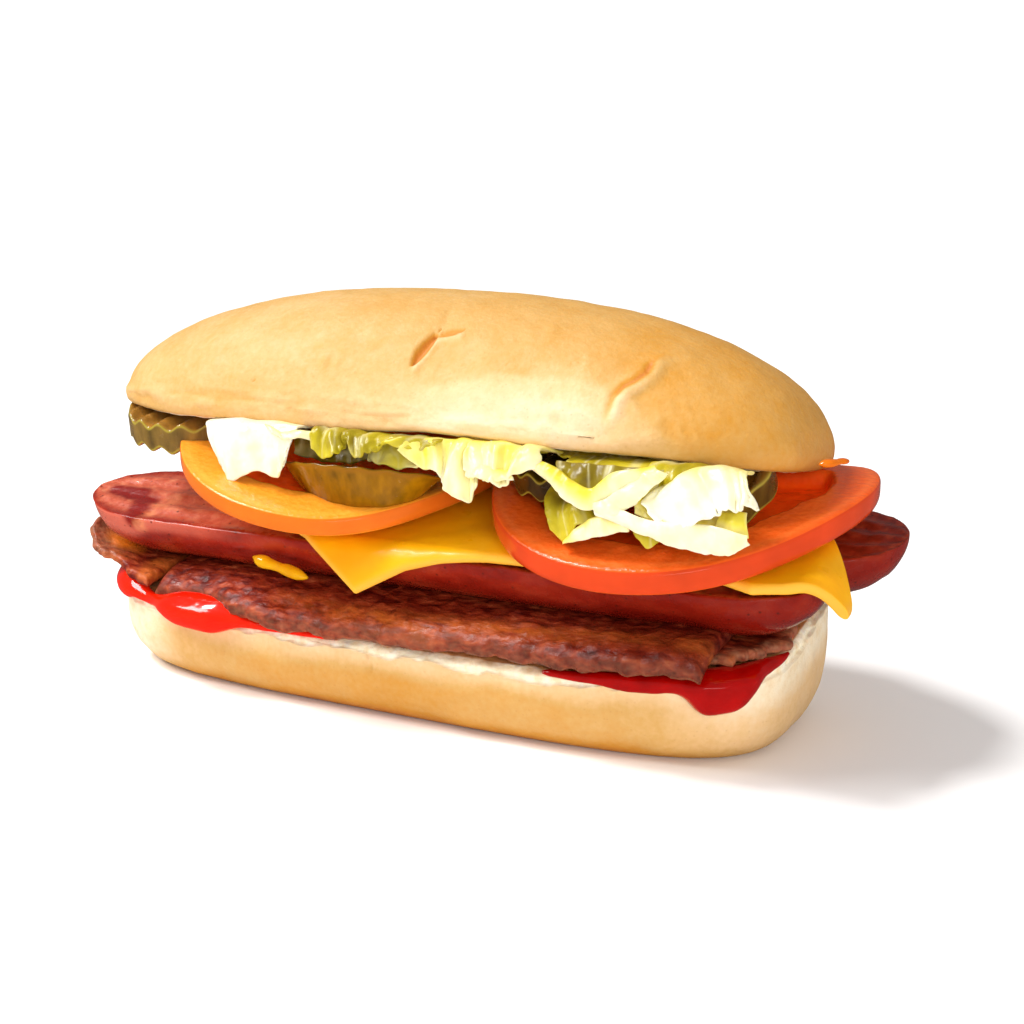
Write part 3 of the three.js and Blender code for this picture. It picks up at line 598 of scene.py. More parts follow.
def body(name, node, slot, grid, material, **paints):
    """Puts the closed body through a grid of points in the place of a solid."""
    shown = {key: value if np.isscalar(value) else capped(value) for key, value in paints.items()}
    piece(name, node, slot, loft(grid), material, **shown)


# ---- lower half of the bun ----

BUN_LENGTH = 165
BUN_WIDTH = 68
BUN_PLAN_POWER = 3.7
BUN_FRONT_RIM = 17.5
BUN_FOOT = 0.78
BUN_COLUMNS = 460
BUN_NOTCH = [(-3.6, 14.4), (-2.6, 11.4)]
LEAN = math.tan(math.radians(12.5))


def cut_height(y):
    return BUN_FRONT_RIM + LEAN * (y + BUN_WIDTH / 2)


def bun_plan(t, inset=0.0):
    return (
        (BUN_LENGTH / 2 - inset) * squared(np.cos(t), BUN_PLAN_POWER),
        (BUN_WIDTH / 2 - inset) * squared(np.sin(t), BUN_PLAN_POWER),
    )


def rim_tear(t):
    return 0.7 + 0.45 * np.sin(3 * t + 1) + 0.25 * np.sin(7 * t)


def bun_bottom():
    t = even(bun_plan, 0, TAU, BUN_COLUMNS + 1)[:-1]
    foot = (BUN_WIDTH / 2) * (1 - BUN_FOOT)
    swell = 0.6
    rows = []
    for share in (0.15, 0.4, 0.65, 0.85):
        x, y = bun_plan(t, foot)
        rows.append(stack(x * share, y * share, 0))
    for k in np.concatenate([0.6 * np.linspace(0, 1, 22) ** 1.7, np.linspace(0.62, 0.95, 26)]):
        inset = foot * (1 - np.sqrt(1 - (1 - min(k / swell, 1)) ** 2))
        x, y = bun_plan(t, inset)
        rows.append(stack(x, y, k * (cut_height(y) - rim_tear(t))))
    for a in np.linspace(0.1, 1, 10) * math.pi / 2:
        x, y = bun_plan(t, 2.4 * (1 - math.cos(a)))
        drop = lerp(1, 0.2, math.sin(a))
        low = 0.95 * (cut_height(y) - rim_tear(t))
        rows.append(stack(x, y, lerp(low, cut_height(y) - drop * rim_tear(t), math.sin(a))))
    for inset in (3.4, 4.6, 6, 8, 10.5, 13.5, 17, 22, 28):
        x, y = bun_plan(t, inset)
        rows.append(stack(x, y, cut_height(y)))
    grid = np.array(rows)
    x, y, z = grid[..., 0], grid[..., 1], grid[..., 2]
    below = cut_height(y) - z
    wall = smooth(z, 0.3, 2.5)
    ragged = 2.5 + 0.9 * noise(grid * [1, 1, 0], 7, 3) + 0.5 * noise(grid * [1, 1, 0], 2.3, 4)
    crumb = 1 - smooth(below - ragged, -0.25, 0.25)
    outer = np.abs(below - ragged)
    lift = 0.35 * bump(outer, 0, 0.5) * (below > ragged)
    torn = crumb * (0.8 * fractal(grid, 3.2, 4, 11) - 0.3)
    folds = 0.42 * fractal(grid * [1, 1, 0.25], 9, 3, 21) + 0.18 * fractal(grid, 3.4, 3, 25)
    notch = -0.8 * bump(near_line(x, z, BUN_NOTCH), 0, 0.7) * (y < 0)
    grid = raised(grid, wall * (lift + torn + (1 - crumb) * folds + notch))
    grid[..., 2] = np.maximum(grid[..., 2], 0)
    ends = smooth(np.abs(x), 52, 80)
    crusty = along([(-60, 0.5), (-5, 0.64), (40, 0.54)], x)
    bake = lerp(0.2, crusty, smooth(below, 2.5, 8 + 3 * noise(grid, 14, 31)))
    bake = bake * lerp(1, along([(-82, 0.2), (0, 0.5), (82, 0.45)], x), ends)
    # Darker towards the foot: browner crust, and painted shade where the bun meets the floor.
    bake = bake + 0.35 * (1 - smooth(z, 0.4, 4.5)) * (1 - 0.4 * ends)
    # Orange-brown on the crumb just under the bacon and over the cut top: juice stain, and painted warm
    # shade under the filling.
    stain = 0.7 * crumb * smooth(noise(grid, 6, 41), -0.5, 0.6) * (1 - smooth(below, 0.3, 1.8))
    stain = np.maximum(stain, 0.9 * (np.arange(len(rows))[:, None] > len(rows) - 13))
    # the left end is soft and pale almost to its foot, the right end along its top
    pale = smooth(-x, 52, 74) * smooth(z + 2 * noise(grid, 8, 43), 1.5, 7)
    pale = np.maximum(pale, smooth(x, 60, 80) * (1 - smooth(below, 4, 12)))
    bake = bake - 0.3 * pale
    crumb = np.maximum(crumb, 0.55 * pale)
    return grid, bake, crumb, stain


bun_skin = bread("bun_crust")
grid, bake, crumb, stain = bun_bottom()
body("bun_lower_half", "bun_bottom", "bun", grid, bun_skin, bake=bake, crumb=crumb, stain=stain)

# ---- crown ----

CROWN_COLUMNS = 760
CROWN_LENGTH = 165
CROWN_WIDTH = 63
CROWN_HEIGHT = 32
CROWN_LIP = 3.3
CROWN_DISH = 5.5
CROWN_REAR_LIFT = 2.4
CROWN_PLAN_POWER = 3.5
CROWN_ARCH = 2.2  # powers of the dome's outline, along the bun and across it
CROWN_ROUND = 1.93
CROWN_CENTRE = (0.2, -0.2, 56.7)
CROWN_TILT = math.radians(-10)

# Marks on the crown's front as (along the bun, height above the rim): two hollows by the ends of their
# middle lines, then three lines and the places of small blisters.
DENT = ((3.6, 14.2), (5.9, 21.2))
DENT_BRANCH = ((6.5, 20.6), (12.2, 22.3))
DENT_TOP = [(6.6, 23.4), (5.7, 25.8)]
DENT_LIP = [(4.6, 13.8), (7.0, 19.6), (12.0, 20.9)]
FOLD = [
    (57.5, 21.8), (55.2, 20.4), (54.0, 19.1), (54.0, 16.5), (52.2, 14.4),
    (50.5, 13.2), (49.0, 11.1), (48.8, 9.2), (48.5, 6.6), (48.0, 4.5),
]
BLISTERS = [
    (41.3, 17.6), (37.8, 24.2), (59.6, 19.5), (-46.6, 11.6), (-17.5, 13.9), (-14.2, 13.6), (31.0, 23.0),
]


def crown_place(local):
    c, s = math.cos(CROWN_TILT), math.sin(CROWN_TILT)
    x, y, z = local[..., 0], local[..., 1], local[..., 2]
    return stack(x, c * y - s * z, s * y + c * z) + np.array(CROWN_CENTRE)


def crust(x, y):
    slant = x - 51.5 - 0.51 * (y + 23.7)
    reach = bump(y, -24, 8)
    return (
        -1.2 * bump(x, 7, 4.5) * bump(y, -25, 3.5)
        + 0.9 * bump(slant, 1.2, 2.4) * reach
        - 0.7 * bump(slant, -2.6, 2.6) * reach
    )


def crown_rim(x, y):
    return (
        0.6 * np.sin(x / 19 + 0.6)
        + 0.3 * np.sin(x / 7.3)
        + CROWN_REAR_LIFT * smooth(y, 0, CROWN_WIDTH / 2)
    )


def hollow(x, y, ends, width):
    """A lens-shaped share between two points: 1 along its middle, 0 at its edges."""
    (x0, y0), (x1, y1) = ends
    length = math.hypot(x1 - x0, y1 - y0)
    run = ((x - x0) * (x1 - x0) + (y - y0) * (y1 - y0)) / length**2
    off = ((y - y0) * (x1 - x0) - (x - x0) * (y1 - y0)) / length
    half = width * np.sqrt(np.clip(4 * run * (1 - run), 1e-6, 1))
    return np.clip(1 - (off / half) ** 2, 0, 1)


def crown_plan(t):
    return (
        (CROWN_LENGTH / 2) * squared(np.cos(t), CROWN_PLAN_POWER),
        (CROWN_WIDTH / 2) * squared(np.sin(t), CROWN_PLAN_POWER),
    )


def bun_top():
    outline = crown_plan(even(crown_plan, 0, TAU, CROWN_COLUMNS + 1)[:-1])

    def plan(share):
        return share * outline[0], share * outline[1]

    rows = []
    for share in (0.03, 0.12, 0.24, 0.36, 0.48, 0.58, 0.67, 0.75, 0.82, 0.88, 0.92, 0.95):
        x, y = plan(share)
        dish = CROWN_DISH * (1 - share**4) * (1 - smooth(share, 0.9, 0.95))
        rows.append(stack(x, y, dish + crown_rim(x, y)))
    for a in np.linspace(0.05, 0.98, 12) * math.pi / 2:
        x, y = plan(0.955 + 0.045 * math.sin(a))
        level = 0.2 + 3.1 * (1 - math.cos(a)) ** 1.5
        rows.append(stack(x, y, level + crown_rim(x, y) * (1 - math.sin(a) ** 4)))
    for k in range(70):
        share = math.cos(math.pi / 2 * (k / 71) ** 1.15)
        x, y = plan(share)
        u = x / (CROWN_LENGTH / 2)
        narrow = np.maximum(1e-6, 1 - np.abs(u) ** CROWN_PLAN_POWER) ** (1 / CROWN_PLAN_POWER)
        v = np.clip(y / (CROWN_WIDTH / 2 * narrow), -1, 1)
        lengthwise = np.maximum(0, 1 - np.abs(u) ** CROWN_ARCH) ** (1 / CROWN_ARCH)
        crosswise = np.maximum(0, 1 - np.abs(v) ** CROWN_ROUND) ** (1 / CROWN_ROUND)
        dome = (CROWN_HEIGHT - CROWN_LIP) * lengthwise * crosswise
        rows.append(stack(x, y, CROWN_LIP + dome + crust(x, y)))
    grid = np.array(rows)
    x, y, z = grid[..., 0], grid[..., 1], grid[..., 2]
    row = np.arange(len(grid))[:, None]
    top = smooth(row, 14, 24) * np.ones_like(x)
    front = (y < 0) * top
    crease = hollow(x, z, DENT, 1.7)
    branch = hollow(x, z, DENT_BRANCH, 1.05)
    lip = bump(near_line(x, z, DENT_LIP), 0, 0.8)
    fold = near_line(x, z, FOLD) * np.sign(x - straight([(b, a) for a, b in FOLD[::-1]], z))
    taper = smooth(z, 5, 10) * (1 - smooth(z, 17.5, 21))
    marks = (
        -1.0 * crease
        - 0.6 * branch
        + 0.5 * lip
        - 0.3 * bump(near_line(x, z, DENT_TOP), 0, 1.1)
        + taper * (0.8 * bump(fold, 1.3, 1.1) - 0.7 * bump(fold, -0.5, 0.8))
    )
    for bx, bz in BLISTERS:
        marks = marks + 0.3 * np.exp(-(((x - bx) / 0.8) ** 2 + ((z - bz) / 1.2) ** 2))
    low = bump(z, 3.0, 3.4) * top
    wrinkles = 0.75 * fractal(grid * [0.22, 0.3, 1.0], 2.1, 3, 51) * low * smooth(-x, -66, -40)
    curls = 0.8 * (0.5 - np.abs(noise(grid * [0.22, 0.3, 0.9], 2.4, 57))) * bump(x, 14, 22)
    wrinkles = wrinkles + curls * bump(z, 5.6, 2.6) * top
    slant = grid @ np.array([[0.5, 0, 0], [0, 0.3, 0], [0.28, 0, 0.3]])
    creased = (0.4 - np.abs(noise(slant, 1.6, 58))) * smooth(x, 24, 40) * (1 - smooth(x, 62, 74))
    wrinkles = wrinkles + 0.45 * creased * smooth(z, 2, 5) * (1 - smooth(z, 9, 13)) * top
    skin = 0.34 * fractal(grid, 11, 3, 61) + 0.16 * fractal(grid, 4.5, 3, 64)
    skin = skin + 0.07 * fractal(grid, 1.8, 2, 66)
    crumb = (1 - smooth(row, 9, 15)) * np.ones_like(x)
    torn = 0.4 * crumb * fractal(grid, 4, 3, 71)
    deep = along([(-82, -4), (-40, 1), (0, 3.5), (40, 4.5), (56, 2.5), (66, -6), (82, -12)], x)
    wide = along([(-82, 20), (-40, 15), (0, 13), (40, 15), (66, 15), (82, 18)], x)
    pale = along([(-82, 0.5), (-46, 0.46), (-8, 0.3), (22, 0.16), (42, 0.22), (58, 0.42), (82, 0.7)], x)
    brown = along([(-82, 0.44), (-40, 0.44), (0, 0.5), (40, 0.56), (56, 0.66), (82, 0.64)], x)
    bake = lerp(pale, brown, smooth(z + 2.2 * fractal(grid, 13, 2, 81), deep, deep + wide))
    border = along([(-5, 7.3), (17, 12.1), (26, 13.5), (38.5, 13.4), (52, 11.4)], x)
    border = border + 1.1 * fractal(grid, 6, 3, 83)
    patch = smooth(x, -2, 18) * (1 - smooth(x, 46, 60)) * (1 - smooth(z, border - 0.8, border + 1.2))
    # Painted shade in the dents and in the fold's crease, painted light on the lip and on the fold's
    # ridge; the wrinkles are painted darker in their hollows and lighter on their tops.
    shade = np.minimum(1, 1.3 * crease) + 0.8 * branch - 0.5 * lip
    shade = shade + taper * (0.8 * bump(fold, -0.5, 0.7) - 0.5 * bump(fold, 1.5, 1.1))
    bake = bake + front * (0.46 * np.clip(shade, -1, 1) - 0.13 * patch) - 0.25 * wrinkles
    grid = raised(grid, front * marks + wrinkles + top * skin + torn)
    return crown_place(grid), bake, crumb


grid, bake, crumb = bun_top()
body("bun_crown", "bun_top", "bun", grid, bun_skin, bake=bake, crumb=crumb, stain=0.0)

# ---- ketchup on the lower half's rim ----


def lobe(x, at, width):
    return np.exp(-(((x - at) / width) ** 4))


def sauce_run(t0, t1, count, sag, fat, rise):
    """Sauce along the rim between two angles. It hangs down by sag, stands out by fat and up by rise.

    The three go by the distance along the rim from its front middle, negative to the left.
    """
    t = even(bun_plan, t0, t1, count)
    x, y = bun_plan(t, 0.4)
    in_x, in_y = bun_plan(t, 3)
    out = stack(x - in_x, y - in_y, 0)
    out = out / np.linalg.norm(out, axis=-1, keepdims=True)
    s = np.linspace(0, 1, count)
    rim = np.cumsum(np.hypot(np.gradient(x), np.gradient(y)))
    place = rim - rim[0] + x[0] if x[0] > 0 else rim - rim[-1] + x[-1]
    end = np.maximum(0.02, np.sin(math.pi * s)) ** 0.35
    depth, drop, lift = fat(place) * end, sag(place) * end, rise(place) * end
    top = stack(x, y, cut_height(y) - 0.6) + out * (0.4 * depth)[:, None]
    a = np.arange(44) * TAU / 44
    c, h = np.cos(a)[None, :], np.sin(a)[None, :]
    full = np.where(h < 0, np.sign(c) * np.abs(c) ** 0.6, c)
    height = np.where(h < 0, h * drop[:, None], h * lift[:, None])
    back = np.where(h > 0, 0.5 * lift[:, None] * h * h, 0.1 * drop[:, None] * h * h)
    grid = top[:, None, :] + out[:, None, :] * (full * depth[:, None] - back)[..., None]
    grid[..., 2] += height
    return raised(grid, 0.3 * fractal(grid, 6, 3, 91))


def worm(path, radius, squash):
    """A soft lump drawn along a path, thick by radius(share of the way) and squash times as high."""
    s = np.linspace(0, 1, 70)
    line = curve(path)(s)
    ahead = np.gradient(line, axis=0)
    ahead /= np.linalg.norm(ahead, axis=-1, keepdims=True)
    side = np.cross(ahead, [0, 0, 1])
    side /= np.linalg.norm(side, axis=-1, keepdims=True)
    up = np.cross(side, ahead)
    a = np.arange(28) * TAU / 28
    r = (radius(s) * np.maximum(0.02, np.sin(math.pi * s)) ** 0.5)[:, None, None]
    ring = np.cos(a)[None, :, None] * side[:, None, :]
    ring = ring + squash * np.sin(a)[None, :, None] * up[:, None, :]
    grid = line[:, None, :] + r * ring
    return raised(grid, 0.25 * fractal(grid, 2.6, 3, 95))


body(
    "ketchup_left",
    "bun_bottom",
    "bun",
    sauce_run(
        math.pi * 1.06,
        math.pi * 1.492,
        230,
        lambda r: 0.8 + 2.8 * lobe(r, -48, 10) + 2.4 * lobe(r, -79, 9) + 1.0 * lobe(r, -63, 5),
        lambda r: 0.9 + 2.4 * lobe(r, -48, 12) + 2.0 * lobe(r, -77, 10),
        lambda r: 1.2 + 3.0 * lobe(r, -48, 11) + 3.4 * lobe(r, -77, 9),
    ),
    sauce_finish("ketchup_fresh", (255, 40, 8), (232, 20, 3)),
)
body(
    "ketchup_right",
    "bun_bottom",
    "bun",
    sauce_run(
        math.pi * 1.575,
        math.pi * 1.95,
        230,
        lambda r: 1.3 + 5.6 * lobe(r, 73, 6.5) + 0.9 * lobe(r, 58, 7),
        lambda r: 1.1 + 2.6 * lobe(r, 73, 8.5),
        lambda r: 1.5 + 1.3 * lobe(r, 76, 11),
    ),
    sauce_finish("ketchup_deep", (188, 5, 2), (140, 1, 0)),
)

mustard = sauce_finish("mustard", (240, 184, 14), (216, 140, 6))
seam = [(-35.5, -29.4, 31.2), (-31, -30, 30.4), (-27, -30, 29.6), (-21, -29.6, 28.2)]
seam_grid = worm(seam, lambda s: 1.6 + 0.5 * np.sin(9 * s), 0.9)
body("mustard_seam", "sausage_front", "bun", seam_grid, mustard)
smear = [(86, -12, 60.2), (88.5, -9, 60.4), (90, -6, 60.3)]
smear_grid = worm(smear, lambda s: 1.2 + 0.3 * np.sin(8 * s), 0.7)
body("sauce_smear", "bun_top", "bun", smear_grid, sauce_finish("smear", (236, 130, 20), (200, 80, 10)))

# ---- sausage ----

SAUSAGE_RADIUS = 13.7
SAUSAGE_TIP = 21
# Each half as its start and end along x, the y and z of its cut face's middle, and the face's tilt.
HALVES = {
    "sausage_front": (-89, 91, -16, 39.5, math.radians(12)),
    "sausage_rear": (-80, 98, 12, 41.6, math.radians(13)),
}
SPLIT = -2.5  # y of the line between the two halves
GAP = 0.35
# Round marks on the front half's left end as (x, y, z, radius): seared meat, and pale spots of painted
# sheen along a ridge.
SEARED = [
    (-83.5, -17.5, 39.2, 2.4), (-80, -18, 39, 3.2), (-76, -18.5, 38.9, 3.8),
    (-72.5, -20.5, 38.4, 3.6), (-71, -24.5, 37.4, 3.2), (-69.5, -27.5, 36, 2.6),
]
SCRAPED = [
    (-66, -18.5, 39.2, 2.2), (-66.4, -22.5, 38.2, 2.2),
    (-66.6, -26, 37, 2.0), (-67.4, -28.5, 34.6, 1.8),
]


def spots(grid, marks, seed):
    """1 inside any of the round marks, with uneven edges."""
    reach = [np.linalg.norm(grid - mark[:3], axis=-1) / mark[3] for mark in marks]
    return 1 - smooth(np.minimum.reduce(reach) + 0.35 * fractal(grid, 3, 3, seed), 0.6, 1.25)


def sausage_half(start, end, y0, z0, tilt, seed):
    lead = SAUSAGE_TIP * (1 - np.cos(np.linspace(0, math.pi / 2, 34)))
    xs = np.concatenate([start + lead, np.linspace(start + 22.5, end - 22.5, 90), (end - lead)[::-1]])
    to_end = np.minimum(xs - start, end - xs)
    near = np.clip(1 - to_end / SAUSAGE_TIP, 0, 1)
    r = np.maximum(0.5, SAUSAGE_RADIUS * np.sqrt(np.maximum(0, 1 - near**2.3)))
    a = math.pi * (1 + np.linspace(0, 1, 64))
    p = np.linspace(0.96, -0.96, 34)
    across = np.concatenate([np.cos(a), p])
    down = np.concatenate([np.sin(a), -0.05 * np.sin(TAU * p) ** 2])
    edge = np.concatenate([np.abs(np.cos(a)) ** 12, np.abs(p) ** 8])
    face = np.concatenate([np.zeros(64), np.ones(34)])
    c, s = math.cos(tilt), math.sin(tilt)
    q = r[:, None] * (down - 0.05 * edge)[None, :]
    w = r[:, None] * across[None, :] * (1 - 0.015 * edge)[None, :]
    x = np.broadcast_to(xs[:, None], w.shape)
    grid = stack(x, y0 + w * c - q * s, z0 + w * s + q * c)
    face = np.broadcast_to(face, w.shape)
    skin = 0.14 * fractal(grid * [0.35, 1, 1], 3, 3, seed) + 0.2 * fractal(grid, 9, 2, seed + 5)
    coarse = 0.4 * fractal(grid, 3.2, 4, seed + 9)
    wrinkle = 0.3 * fractal(grid * [1, 0.3, 0.3], 2.2, 2, seed + 3) * smooth(near, 0.3, 0.9)[:, None]
    grid = raised(grid, np.where(face > 0.5, coarse, skin + wrinkle))
    return grid, face, across, near


for node, numbers in HALVES.items():
    grid, face, across, near = sausage_half(*numbers, seed=101 if node == "sausage_front" else 121)
    x, y, z = grid[..., 0], grid[..., 1], grid[..., 2]
    below = numbers[3] - z
    # Painted reflection of the bright room on the upper skin of the front half's left part.
    pink = 0.9 * smooth(-x, 30, 70) * (1 - smooth(below + 3 * noise(grid, 8, 7), 5, 8)) * (1 - face)
    # Painted shade, mottled on the underside and over the skin towards the right end.
    under = smooth(below, 5, 10) * 0.5 * smooth(noise(grid * [0.3, 1, 1], 6, 8), -0.4, 0.5)
    under = under + 0.6 * smooth(x, 15, 65) * (1 - face)
    blurred = face * smooth(0.97 - np.abs(across), 0, 0.02 + 0.4 * smooth(-x, 10, 60))
    body(
        node.replace("sausage", "frankfurter"),
        node,
        "sausage",
        grid,
        sausage_skin(node.replace("sausage", "skin")),
        face=blurred,
        salmon=smooth(-x, 15, 50),
        pink=pink * (node == "sausage_front"),
        under=under,
        sear=spots(grid, SEARED, 9),
        scrape=0.8 * spots(grid, SCRAPED, 15),
    )


def face_height(half, y):
    return half[3] + (y - half[2]) * math.tan(half[4])


FRONT, REAR = HALVES["sausage_front"], HALVES["sausage_rear"]
FRONT_EDGE = FRONT[2] - SAUSAGE_RADIUS * math.cos(FRONT[4])
REAR_EDGE = REAR[2] + SAUSAGE_RADIUS * math.cos(REAR[4])


def face_level(y):
    over = np.maximum(face_height(FRONT, SPLIT), face_height(REAR, y))
    return np.where(y < SPLIT, face_height(FRONT, y), over)


# ---- bacon ----

bacon = fried_bacon("bacon")


def ragged(middle, amount, size, seed):
    """The same surface with torn edges along v = 0 and v = 1."""

    def torn(u, v):
        edge = stack(u * size[0], 0, 0)
        near = amount * fractal(edge, 5, 4, seed) / size[1]
        far = amount * fractal(edge, 5, 4, seed + 7) / size[1]
        return middle(u, v + near * (1 - v) ** 2 + far * v**2)

    return torn


def strip(node, middle, tear, thickness, size, counts, seed, rough, paints):
    surface = ragged(middle, tear, size, seed)
    points, faces, u, v = sheet(surface, thickness, size, counts, seed + 2, rough)
    name = node.replace("bacon", "bacon_strip")
    piece(name, node, "bacon", (points, faces), bacon, **paints(points, u, v))


BACON_DROOP = 2.2  # how far the thick strip hangs down along its front edge


def bacon_front(u, v):
    x = lerp(-63, 72, u)
    y = -35.4 + 0.6 * np.sin(x / 12) + (5 - 4 * v) * smooth(-x, 30, 56) + v * 25.5
    lift = 2.6 * smooth(x, 10, 72) * (1 - 0.5 * v)
    droop = BACON_DROOP * np.maximum(0, 1 - v / 0.3) ** 2
    ripple = 0.5 * np.sin(x / 8) * (1 - v) + 0.7 * fractal(stack(x, 30 * v, 0), 16, 2, 131)
    return stack(x, y, cut_height(y) + 3.2 + lift + ripple - droop)


strip(
    "bacon_front",
    bacon_front,
    1.1,
    4.6,
    (135, 25),
    (300, 70),
    133,
    0.75,
    lambda p, u, v: {
        "streak": bump(v - 0.2 - 0.06 * np.sin(9 * u), 0, 0.09) * smooth(u, 0.2, 0.45),
        "fat": 0.5 * (1 - smooth(v, 0, 0.1)),
        # Painted shade towards the right end, under the sausage.
        "deep": 0.4 * smooth(u, 0.35, 0.95),
    },
)

left_middle = between(
    [(-64.5, -30, 21.5), (-73, -27.2, 23), (-80, -25.6, 25.2), (-85.5, -24, 27.5), (-89, -21, 31)],
    [(-64.5, -8, 25), (-72, -7, 26.2), (-80, -7, 27), (-86, -8, 28.5), (-90, -11, 31)],
)


def bacon_left(u, v):
    point = left_middle(u, v)
    crumple = 0.8 * fractal(point, 7, 3, 141) * smooth(u, 0.1, 0.5)
    point[..., 2] += 0.7 * np.sin(9 * v + 5 * u) * u + crumple
    return point


strip(
    "bacon_left",
    bacon_left,
    2.2,
    lambda u, v: 2.6 - 1.0 * u,
    (27, 22),
    (80, 60),
    143,
    0.35,
    lambda p, u, v: {
        "streak": smooth(noise(p, 6, 147), 0, 0.6),
        "fat": smooth(u, 0.25, 0.7) * (1 - 0.5 * v),
        "stain": 0.95 * bump(u, 0.55, 0.2) * smooth(v, 0.15, 0.4) * smooth(noise(p, 4, 149), -0.5, 0.3),
    },
)


def bacon_right(u, v):
    t = lerp(math.pi * 1.745, math.pi * 2.03, u)
    x, y = bun_plan(t, 0.4 + 20 * v + 0.8 * (1 - v) * np.sin(23 * u))
    wave = 0.8 * np.sin(6 * u + 2 * v) + 0.5 * fractal(stack(x, y, 0), 7, 3, 151)
    return stack(x - 4 * v, y, cut_height(y) + 2.1 + wave)


strip(
    "bacon_right",
    bacon_right,
    2.0,
    2.3,
    (45, 20),
    (130, 50),
    153,
    0.35,
    lambda p, u, v: {
        "streak": smooth(noise(p, 5, 157), 0.1, 0.6),
        "fat": 0.9 * (1 - smooth(v, 0.02, 0.16)),
    },
)


def bacon_rear(u, v):
    x = lerp(-70, 73, u)
    y = 21 + 15 * v + 1.2 * np.sin(x / 14)
    wave = 0.7 * (1 + np.sin(x / 8)) * v + 0.4 * fractal(stack(x, y, 0), 8, 3, 161)
    return stack(x, y, cut_height(y) + 1.9 + wave)


strip(
    "bacon_rear",
    bacon_rear,
    1.6,
    2.4,
    (143, 15),
    (260, 40),
    163,
    0.35,
    lambda p, u, v: {
        "streak": bump(v, 0.75, 0.1),
        "fat": 0.6 * smooth(v, 0.86, 0.97),
    },
)

# ---- cheese ----

CHEESE_THICKNESS = 2.4
CHEESE_DEPTH = 40
CHEESE_BEND = 4
CHEESE_DROOP = math.radians(66)
# span and bend are along x. front and rear are (x, how far the slice goes past the sausages' edge).
CHEESES = {
    "cheese_left": {
        "span": (-46, 38),
        "front": [(-46, -21), (-25, -1), (-4.5, 12.8), (6, 6.6), (14, 4), (24, 1.8), (38, 0.8)],
        "rear": [(-46, -16), (-8, -4), (8, 8), (20, 2), (38, -8)],
        "bend": 60,
    },
    "cheese_right": {
        "span": (46, 95.5),
        "front": [(46, -14), (70, -3), (79, 0), (85, -2), (95.5, -8.5)],
        "rear": [(46, -8), (60, 5), (70, -2), (84, -24), (95.5, -45)],
        "bend": 87,
    },
}


def cheese_middle(slice_):
    def middle(u, v):
        x = lerp(*slice_["span"], u)
        front = FRONT_EDGE - straight(slice_["front"], x)
        flat = lerp(front, REAR_EDGE + straight(slice_["rear"], x), v)
        edge = np.clip(flat, FRONT_EDGE, REAR_EDGE)
        over = np.abs(flat - edge)
        turn = np.minimum(over / CHEESE_BEND, CHEESE_DROOP)
        beyond = np.maximum(0, over - CHEESE_BEND * CHEESE_DROOP)
        run = CHEESE_BEND * np.sin(turn) + beyond * math.cos(CHEESE_DROOP)
        fall = CHEESE_BEND * (1 - np.cos(turn)) + beyond * math.sin(CHEESE_DROOP)
        level = face_level(edge) + CHEESE_THICKNESS / 2 + GAP + 0.2
        level = level - 0.1 * np.maximum(0, x - slice_["bend"]) ** 2
        return stack(x, edge + np.sign(flat - edge) * run, level - fall)

    return middle


cheese = cheese_finish("cheese")
for node, slice_ in CHEESES.items():
    length = slice_["span"][1] - slice_["span"][0]
    surface, size = cheese_middle(slice_), (length, CHEESE_DEPTH)
    points, faces, u, v = sheet(surface, CHEESE_THICKNESS, size, (150, 110), 171, 0.1)
    rim = np.minimum.reduce([u, 1 - u, v, 1 - v]) * CHEESE_DEPTH
    piece(node + "_slice", node, "cheese", (points, faces), cheese, edge=bump(rim, 0, 0.8))

# ---- tomato ----

TOMATO_COLUMNS = 300
TOMATOES = {
    "tomato_right": {
        "radius": 40, "x": 52.9, "y": 0, "z": 50.3, "thickness": 5.4, "sag": 0.004, "curl": 0,
        "press": 0, "forward": math.radians(6.8), "sideways": 0, "pockets": 4, "turn": 0.5,
        "wall": 0.78, "depth": 3.4,
    },
    "tomato_left": {
        "radius": 38.5, "x": -25.3, "y": -4.5, "z": 52.1, "thickness": 4.4, "sag": 0.003,
        "curl": 0.005, "press": 0.012, "forward": math.radians(5.4), "sideways": math.radians(8.7),
        "pockets": 5, "turn": 0.2, "wall": 0.76, "depth": 2.2,
    },
}
TOMATO_COLOURS = {
    "tomato_right": ((226, 72, 28), (232, 84, 12), (234, 76, 10)),
    "tomato_left": ((246, 120, 30), (250, 146, 30), (222, 78, 12)),
}


def lower_edge(share, reach, level, rise, angles):
    """Part of a rounded edge as (share of the radius, level), level being -1 below and 1 on top."""
    return [(share + reach * math.sin(a), level - rise * math.cos(a)) for a in angles]


def upper_edge(share, reach, level, rise, angles):
    return [(share + reach * math.cos(a), level + rise * math.sin(a)) for a in angles]


